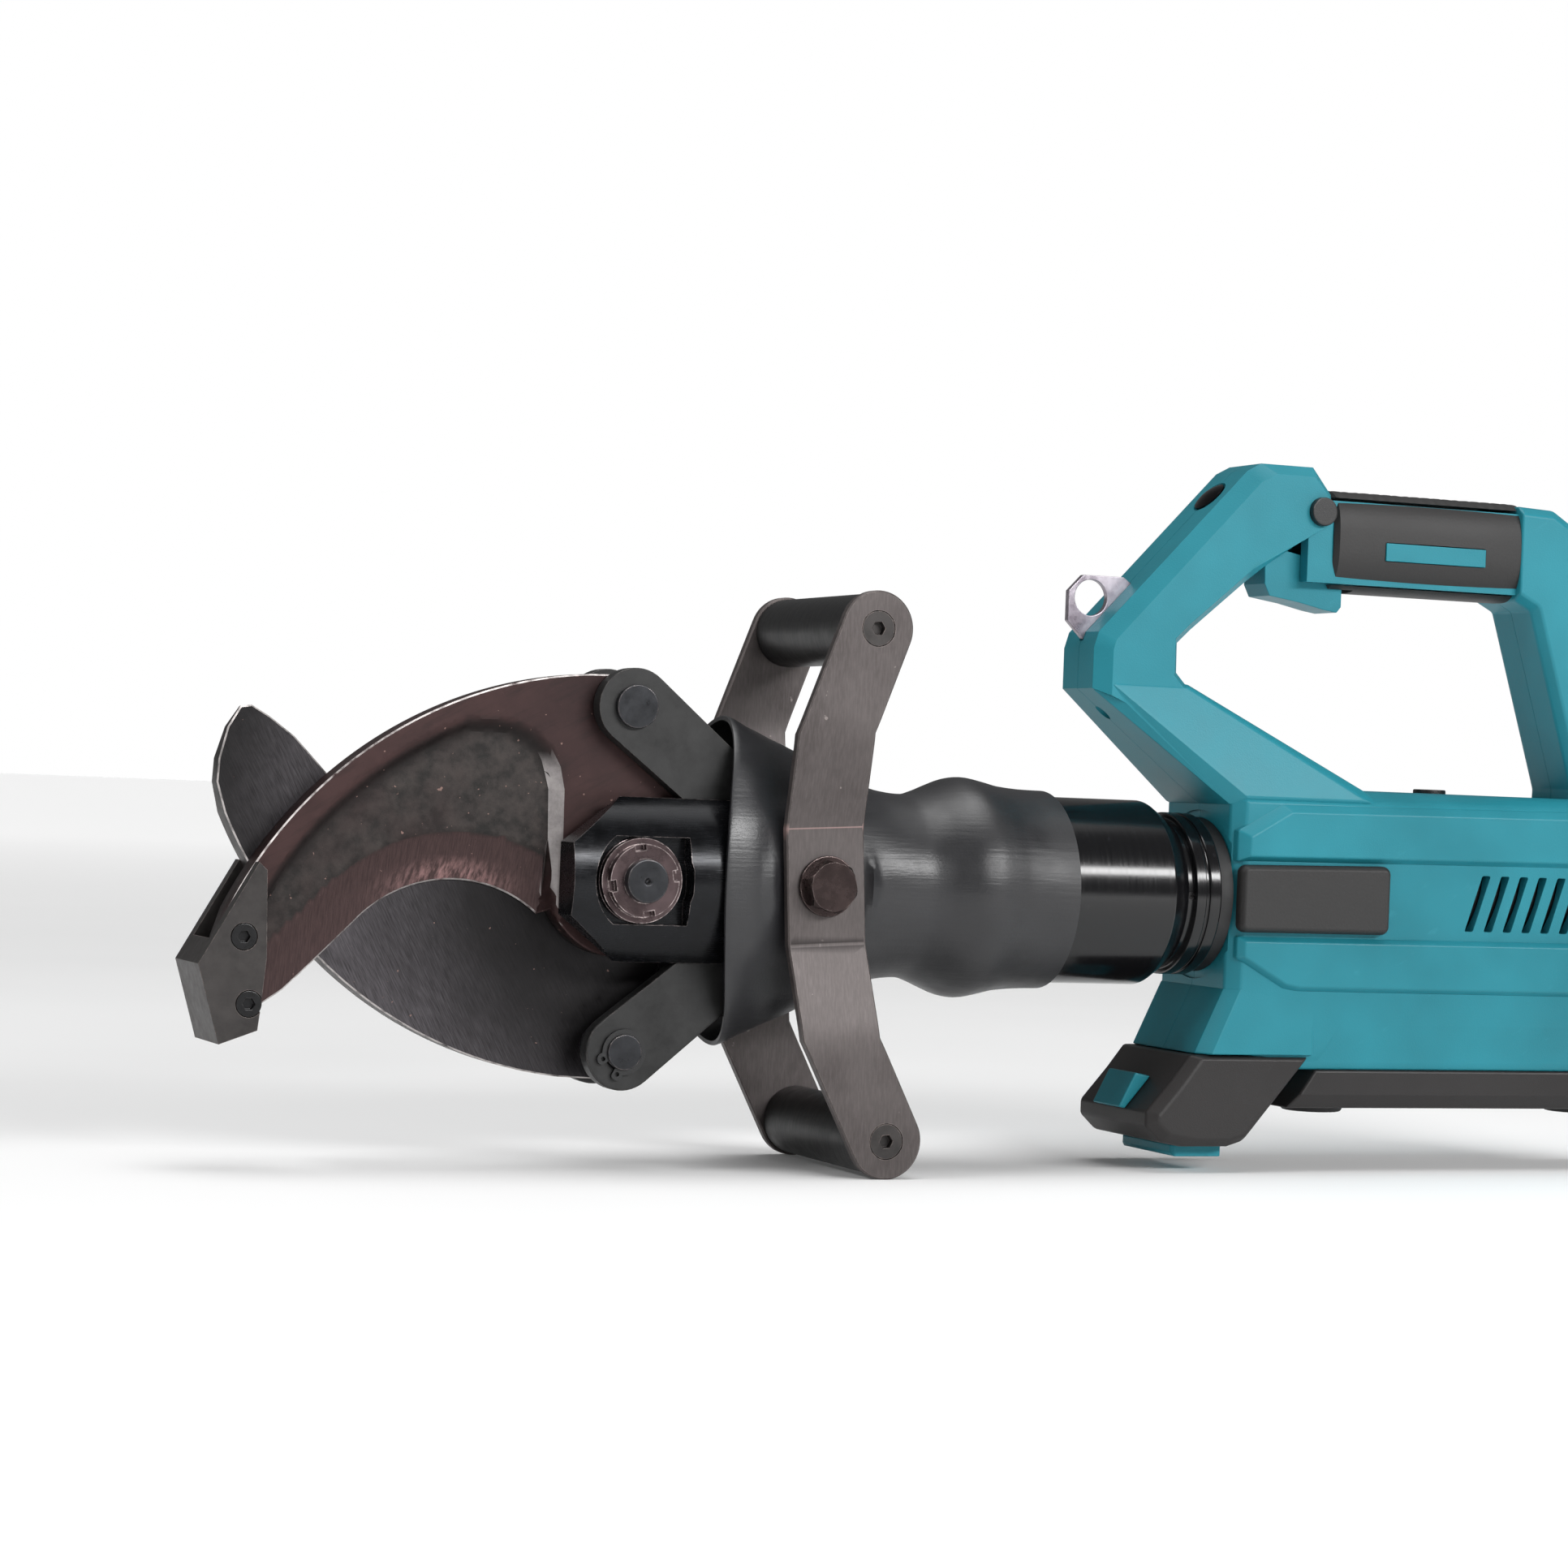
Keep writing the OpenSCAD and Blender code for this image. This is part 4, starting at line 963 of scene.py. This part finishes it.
def cylinder():
    """Ram cylinder with its chamfered shoulder, groove, flange rings and swivel neck."""
    profile = [(60, 33.2), (60, 37.9), (60.25, 38.3), (60.8, 38.5), (156.4, 38.5), (157, 38.35),
               (157.5, 38.1), (165.6, 32.7), (166, 32.4), (166.4, 31.7), (166.6, 31.5), (169, 31.5),
               (169.2, 31.9), (169.2, 33.3), (169.5, 33.85), (170, 34), (173.5, 34), (173.9, 33.8),
               (174.1, 33.2), (174.3, 33), (175.3, 33), (175.5, 33.2), (175.7, 33.8), (176.1, 34),
               (180.2, 34), (180.8, 33.7), (181, 33.2), (181, 21), (194.1, 21), (194.1, 25),
               (198.9, 25), (198.9, 12), (211, 12), (211, 0)]
    inner = [(159.5, 0), (159.5, 30.05), (60, 30.05)]
    obj = lathe("cylinder_body", inner + profile)
    cut(obj, rod("screw_hole", "Y", 1.6, -38, -28, (167.8, 0), 24))
    smooth(obj, 24)
    return finish(obj, "gloss", "head", ["ram_cylinder"])


# ------------------------------------------------------------------ housing

SEAM = 0.12
FRONT_X = 187
REAR_X = 420
BODY_W = 32
HANDLE_W = 19.2
PANEL_Y = 35.8
STRUT_IN, STRUT_OUT = 3.6, 6.3
VENT_X, VENT_STEP, VENTS = 306, 9.5, 6
LAMP = (186.3, 167.6)
SCREW_SPOTS = [(148, 98), (186, 150), (350, 152), (374, 84), (400, 30), (400, -58), (233, -58),
               (199, 38)]
CORE_W, TRIGGER_W = 15.5, 9.6
GRIP_Z = 152
TONGUE_X = (178, 215)


def handle_front():
    """Front leg of the D-handle with the block over the trigger."""
    rows = [(127.5, 84, STRUT_OUT), (127.5, 101, STRUT_OUT), (129.5, 107.6, STRUT_OUT),
            (196.5, 178.5, STRUT_OUT), (203, 182, 4.5), (228, 182, 4), (237, 171, 3), (237, 158, 1),
            (222, 149.5, STRUT_IN), (206, 138.5, STRUT_IN), (198, 132.4, STRUT_IN),
            (172, 110.3, STRUT_IN), (166.1, 104.6, STRUT_IN), (166.3, 92.2, STRUT_IN),
            (170.7, 87.6, 0), (160, 70, 0)]
    return soften(prism("handle_front", rows, HANDLE_W, 5.6), 1.3)


def handle_low():
    """Diagonal strut that widens from the knee into the body in one plane."""
    side = [(133.6, 19.2, 86.5), (168.6, 19.2, 86.5), (192.5, 31.9, 41.5), (251, 31.9, 41.5)]
    front = [(127.5, 13.6, 84), (127.5, 13.6, 86.5), (186.8, 27.4, 44.5), (187, 27.4, 38)]
    opening = [(168.5, 15.6, 87.8), (171, 15.6, 87.6), (252.5, 28, 45.1), (262, 28, 38)]
    return soften(hull("handle_low", mirrored(side + front + opening)), 1.1)


def handle_rear():
    rows = [(330, 131, 0), (330, 172, 3.5), (348, 171.2, 4), (366, 160.5, 5), (403.5, 60, 5),
            (409, 40, 0), (362, 40, 3), (362.5, 50, 3), (338, 127, 3)]
    return soften(prism("handle_rear", rows, HANDLE_W, 4.5), 1.1)


def body_block():
    front = [(FRONT_X, 20, 46.2), (FRONT_X, 27, 43), (FRONT_X, 27, -47.3)]
    side = [(192.5, BODY_W, 40.2), (192.5, BODY_W, -58), (406, BODY_W, 40.2), (406, BODY_W, -58)]
    top = [(190, 20, 46.2), (398, 20, 46.2), (402, 28, 43.4)]
    rear = [(REAR_X - 0.5, 22, 26), (REAR_X - 0.5, 22, -50), (414, 25, 38), (412, 25, -64)]
    low = [(205, 28.5, -71.5), (400, 28.5, -71.5), (404, 31, -66), (207, 31, -66)]
    return soften(hull("body_block", mirrored(front + side + top + rear + low)), 1.2)


def chin():
    points = [(FRONT_X, 27, -38), (192.5, BODY_W, -38), (186.6, 27, -46),
              (174.2, 27, -65.4), (179.6, 32.8, -65.4),
              (227.8, 32.8, -65.4), (227.8, BODY_W, -44)]
    return soften(hull("chin", mirrored(points)), 0.8)


def side_panel(side, rows, top, name, chamfer_depth=3.8):
    obj = prism(name, rows, top, chamfer_depth, low=26)
    if side < 0:
        to_near_side(obj)
    return soften(obj, 0.7, 2)


UPPER_PANEL = [(188.4, 15, 4.5), (188.4, 27.8, 4.5), (208.5, 39.2, 3.2), (399, 41, 3.5),
               (407, 32, 3.5), (407, 22, 3.5), (400, 16.8, 2.2)]
LOWER_PANEL = [(189.6, -16.2, 3), (189.6, -25.2, 2), (212, -37.4, 2), (219, -38.6, 2), (399, -39.2, 3),
               (407, -31, 3), (407, -23, 3), (398, -15.8, 2)]


def vent_slots(side):
    """Slanted air slots in the side of the body, over the motor."""
    slots = []
    for i in range(VENTS):
        x = VENT_X + VENT_STEP * i
        points = [(x + dx + lean, side * y, z) for z, lean in ((12, 4), (-12, -4))
                  for dx in (-2.1, 2.1) for y in (22, 40)]
        slots.append(soften(hull("slot", points), 0.8, 2))
    return slots


def side_recess(side):
    """Skirt below the side, set in from the panels."""
    points = [(240.5, 33.5, -51.5), (240.5, 32.2, -51.5), (430, 32.2, -51.5), (430, 33.5, -51.5),
              (238, 30.2, -60.2), (430, 30.2, -60.2), (227.9, 30, -72.5), (430, 30, -72.5),
              (227.9, 34, -72.5), (430, 34, -72.5), (430, 34, -51.5), (240.5, 34, -51.5)]
    return hull("recess", [(x, side * y, z) for x, y, z in points])


def housing_cuts():
    """Everything hollowed out of both shells."""
    bore = BODY_W - 3.5
    cuts = [rod("motor_bay", "X", bore, 190, 396, (0, 0), 96),
            rod("neck_bore", "X", 21.5, 150, 191, (0, 0), 96),
            rod("ring_recess", "X", 35.6, 184, 187.9, (0, 0), 120),
            block("board_bay", (236, -bore, -64), (392, bore, -16)),
            block("tank_bay", (206, -bore, 12), (388, bore, 41)),
            block("trigger_bay", (205.5, -TRIGGER_W, 118), (252, TRIGGER_W, 158)),
            block("switch_bay", (251, -14, 140), (322, 14, 164)),
            rod("pivot_hole", "Y", 3.06, -13, 13, (213, 150), 24),
            rod("lock_bore", "Y", 6.1, -40, 40, (230, 163), 48),
            rod("release_bore", "Z", 7.1, 30, 50, (300, 0), 48),
            block("strap_slot", (118, -1.7, 104), (150, 1.7, 134)),
            soften(rod("low_socket", "X", 2.6, 126, 144, (0, 74.5), 32), 0.3, 1)]
    lamp = rod("lamp_bore", "Z", 7.75, -10, 30, (0, 0), 64)
    lamp_rim = rod("lamp_rim", "Z", 8, -1.3, 12, (0, 0), 64, 12.5)
    for tool in (lamp, lamp_rim):
        tool.data.transform(Matrix.Translation(-ORIGIN))
        tool.data.transform(Matrix.Translation(place((LAMP[0], 0, LAMP[1])))
                            @ Matrix.Rotation(-math.pi / 4, 4, "Y"))
        cuts.append(tool)
    return cuts


def housing():
    whole = body_block()
    parts = [chin(), handle_low(), handle_front(), handle_rear(),
             block("grip_core", (226, -CORE_W, 133.5), (342, CORE_W, 168.5)),
             block("tongue_neck", (TONGUE_X[0], -12, -70.5), (TONGUE_X[1], 12, -60)),
             block("tongue", (TONGUE_X[0], -15.5, -75.5), (TONGUE_X[1], 15.5, -70.5))]
    for side in (-1, 1):
        parts.append(side_panel(side, UPPER_PANEL, PANEL_Y, "upper_panel"))
        parts.append(side_panel(side, LOWER_PANEL, PANEL_Y - 1, "lower_panel", 2.6))
    join(whole, *parts)
    cuts = housing_cuts()
    for side in (-1, 1):
        cuts += vent_slots(side) + [side_recess(side)]
    cut(whole, *cuts)
    for name, side in (("housing_near", -1), ("housing_far", 1)):
        half = copy_of(whole, name.replace("housing", "shell"))
        low, high = reach_y(side, SEAM, 60)
        combine(half, [block("keep", (100, low, -120), (440, high, 200))], "INTERSECT")
        if side > 0:
            cut(half, *[rod("screw_well", "Y", 4, 13, 60, spot, 32) for spot in SCREW_SPOTS])
        smooth(half, 30)
        finish(half, "teal", "housing", [name])
    bpy.data.objects.remove(whole)


def grip():
    """Soft sleeve with a palm swell, a finger-side flat and shallow ribs along the top."""
    start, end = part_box("grip_sleeve")
    x0, x1 = ((v.x - ORIGIN.x) / MM for v in (start, end))
    bm = bmesh.new()
    rings = []
    sides, steps = 96, 54
    for k in range(steps + 1):
        t = k / steps
        x = x0 + (x1 - x0) * t
        tuck = 1 - 0.9 * max(0, 1 - min(t, 1 - t) / 0.02) ** 2 * 0.12
        swell = 0.6 * math.sin(math.pi * t)
        ring = []
        for i in range(sides):
            a = 2 * math.pi * i / sides
            c, s = math.cos(a), math.sin(a)
            y = math.copysign(abs(c) ** 0.62, c) * (18.3 + swell) * tuck
            z = math.copysign(abs(s) ** 0.72, s) * 21.6 * tuck
            rib = 0.35 * max(0, math.sin(x * 2 * math.pi / 5)) * (s > 0.75)
            ring.append(bm.verts.new(place((x, y, GRIP_Z + z - rib))))
        rings.append(ring)
    bridge(bm, rings)
    bm.faces.new(rings[0])
    bm.faces.new(rings[-1])
    obj = to_object(bm, "grip_skin")
    cut(obj, block("core", (230, -CORE_W - 0.05, 133), (350, CORE_W + 0.05, 170)),
        block("trigger_gap", (230, -TRIGGER_W, 118), (252.2, TRIGGER_W, 158)))
    for side in (-1, 1):
        low, high = reach_y(side, 17.9, 25)
        cut(obj, soften(block("inlay_bed", (261.8, low, 143.8), (312.2, high, 152.2)), 1))
    smooth(obj, 35, False)
    return finish(obj, "overmould", "housing", ["grip_sleeve"])


def pads():
    for name, side in (("pad_near", -1), ("pad_far", 1)):
        rows = []
        for x, z, turn in ((191.8, -10.9, 180), (256.7, -10.7, 270), (256.7, 11.1, 0), (191.8, 10.1, 90)):
            rows += [(px, pz, 1.5) for px, pz in arc((x, z), 3.5, turn, turn + 90, 8)]
        obj = prism(name, rows, 37.9, 2.4, low=BODY_W + 0.06)
        if side < 0:
            to_near_side(obj)
        soften(obj, 0.9)
        smooth(obj, 30)
        finish(obj, "overmould", "housing", ["side_pads"] if side < 0 else [])


# ------------------------------------------------------------------ battery

SLOT_X, RAIL_W, RAIL_NECK_W = 177.6, 15.9, 12.4


def battery():
    rows = [(171, -65.7, 4.6), (163, -76, 4.6), (151.5, -89.2, 4.6), (151.5, -95.4, 4.6),
            (158.6, -102, 4),
            (168, -103.7, 3), (190, -103.7, 3), (197, -101.5, 1.6), (227.4, -65.7, 1.2)]
    case = soften(prism("battery_shell", rows, 33, 3.4), 1.1)
    wide, neck = RAIL_W, RAIL_NECK_W
    latch_bed = soften(block("latch_bed", (146, -neck, -88.9), (158.5, neck, -74)), 0.5, 1)
    cut(case, block("slot_neck", (SLOT_X, -neck, -71.5), (240, neck, -60)),
        block("slot", (SLOT_X, -wide, -75.9), (240, wide, -70.1)), latch_bed)
    back = [(163.3, neck, -75.7), (152.2, neck, -88.6), (170, neck, -76), (170, neck, -88.6)]
    join(case, hull("latch_back", mirrored(back)))
    smooth(case, 30)
    finish(case, "dark_plastic", "battery", ["battery_case"])


FLOOR_R = 30


def floor():
    bm = bmesh.new()
    bmesh.ops.create_circle(bm, cap_ends=True, segments=96, radius=FLOOR_R)
    obj = to_object(bm, "floor")
    obj.data.materials.append(pale_floor())


# ------------------------------------------------------------------ CAD nodes that stay

KEPT = {
    "bracket": ["blade_guide", "grip_screws"], "screw": ["guide_screws", "housing_screws", "lock_screw"],
    "link": ["upper_links", "lower_links"],
    "pin": ["upper_link_pin", "lower_link_pin", "pivot_pin", "crosshead_pins", "upper_pin_spacer",
            "lower_pin_spacer", "pivot_spacers", "guard_bushes", "crosshead"],
    "nut": ["pivot_nut", "pivot_washer"], "bolt": ["guard_bolts", "guard_washers"],
    "bar": ["grip_bars"], "zinc": ["strap_ring"], "lens": ["lamp_lens"],
    "black_rubber": ["swivel_seal", "feet", "piston_seal", "gland_seal", "oil_bladder"],
    "bright": ["piston_rod", "piston", "return_spring", "pump_shaft"],
    "alloy": ["pump_block", "gearbox", "swivel_retainer"],
    "copper": ["rotor"], "board": ["control_board"],
    "black_plastic": ["lock_off_button", "release_button", "trigger_switch", "upper_circlip",
                      "lower_circlip", "motor_can"],
    "dark_plastic": ["bottom_cover"],
    "teal": ["trigger", "grip_inlays", "battery_foot", "battery_latch"],
}
ROUNDED = {"blade_guide": 0.9, "upper_links": 1.0, "lower_links": 1.0, "pivot_nut": 0.5,
           "pivot_washer": 0.35, "guard_bolts": 0.35, "guard_washers": 0.4, "strap_ring": 0.35,
           "battery_foot": 0.5, "battery_latch": 0.7, "trigger": 0.8, "grip_screws": 0.25,
           "guide_screws": 0.3, "upper_link_pin": 0.6, "lower_link_pin": 0.6, "bottom_cover": 1.2,
           "feet": 0.8, "grip_bars": 0.6, "pivot_pin": 0.7, "grip_inlays": 0.3, "lock_off_button": 0.6,
           "release_button": 0.6}


def kept_nodes():
    for material, names in KEPT.items():
        for name in names:
            obj = frame["nodes"][name]
            obj.data.materials.clear()
            obj.data.materials.append(MATERIALS[material])
            if name in ROUNDED:
                weld = obj.modifiers.new("weld", "WELD")
                weld.merge_threshold = 1e-6
                flatten = obj.modifiers.new("flatten", "DECIMATE")
                flatten.decimate_type = "DISSOLVE"
                flatten.angle_limit = math.radians(0.6)
                round_edges(obj, ROUNDED[name], 3, 35)
                even_normals(obj)


# ------------------------------------------------------------------ stage, lights and camera

EYE = (-594.06, -1414.56, 39.29)
YAW, PITCH, ROLL = -22.68, -0.01, 2.23
LENS = 87.42


def camera():
    a, e, r = (math.radians(v) for v in (YAW, PITCH, ROLL))
    back = Vector((math.sin(a) * math.cos(e), -math.cos(a) * math.cos(e), math.sin(e)))
    right = (-back).cross(Vector((0, 0, 1))).normalized()
    up = right.cross(-back)
    across = math.cos(r) * right + math.sin(r) * up
    above = math.cos(r) * up - math.sin(r) * right
    data = bpy.data.cameras.new("camera")
    data.lens = LENS
    data.sensor_width = 36
    data.clip_end = 100
    obj = link(bpy.data.objects.new("camera", data))
    turn = Matrix((across, above, back)).transposed().to_4x4()
    obj.matrix_world = Matrix.Translation(place(EYE)) @ turn
    bpy.context.scene.camera = obj


def softbox(name, at, aim, size, power):
    data = bpy.data.lights.new(name, "AREA")
    data.shape = "RECTANGLE"
    data.size, data.size_y = size
    data.energy = power
    obj = link(bpy.data.objects.new(name, data))
    obj.location = at
    obj.rotation_euler = (Vector(at) - Vector(aim)).to_track_quat("Z", "Y").to_euler()


CEILING_FROM, CEILING = 0.86, 4.5
WALLS = 0.16


def studio_world():
    """Dim walls and a soft ceiling light; the backdrop seen directly is plain white from every side."""
    world = bpy.data.worlds.new("studio")
    world.use_nodes = True
    tree = world.node_tree
    way = add_node(tree, "TexCoord").outputs["Generated"]
    height = add_node(tree, "SeparateXYZ", Vector=way).outputs["Z"]
    room = add_node(tree, "MapRange", {"interpolation_type": "SMOOTHSTEP"}, Value=height,
                    From_Min=CEILING_FROM, To_Min=WALLS, To_Max=CEILING).outputs[0]
    direct = add_node(tree, "LightPath").outputs["Is Camera Ray"]
    seen = add_node(tree, "Mix", Factor=direct, A=room, B=1.0)
    background = tree.nodes["Background"]
    background.inputs["Color"].default_value = (1, 1, 1, 1)
    feed(tree, background.inputs["Strength"], seen.outputs[0])
    bpy.context.scene.world = world


def lights():
    softbox("key_strip", (0.85, -1.95, 1.05), (0.1, 0, 0.12), (2.0, 0.3), 44)
    softbox("left_box", (-2.1, -0.5, 1.7), (-0.2, 0, 0.15), (0.8, 0.5), 14)
    studio_world()
    bpy.context.scene.view_settings.view_transform = "Standard"


camera()
kept_nodes()
jaws()
fork()
boot()
guard_plate("guard_plate_near_bent", -1, "guard_plate_near")
guard_plate("guard_plate_far_bent", 1, "guard_plate_far")
cylinder()
housing()
grip()
pads()
battery()
floor()
lights()
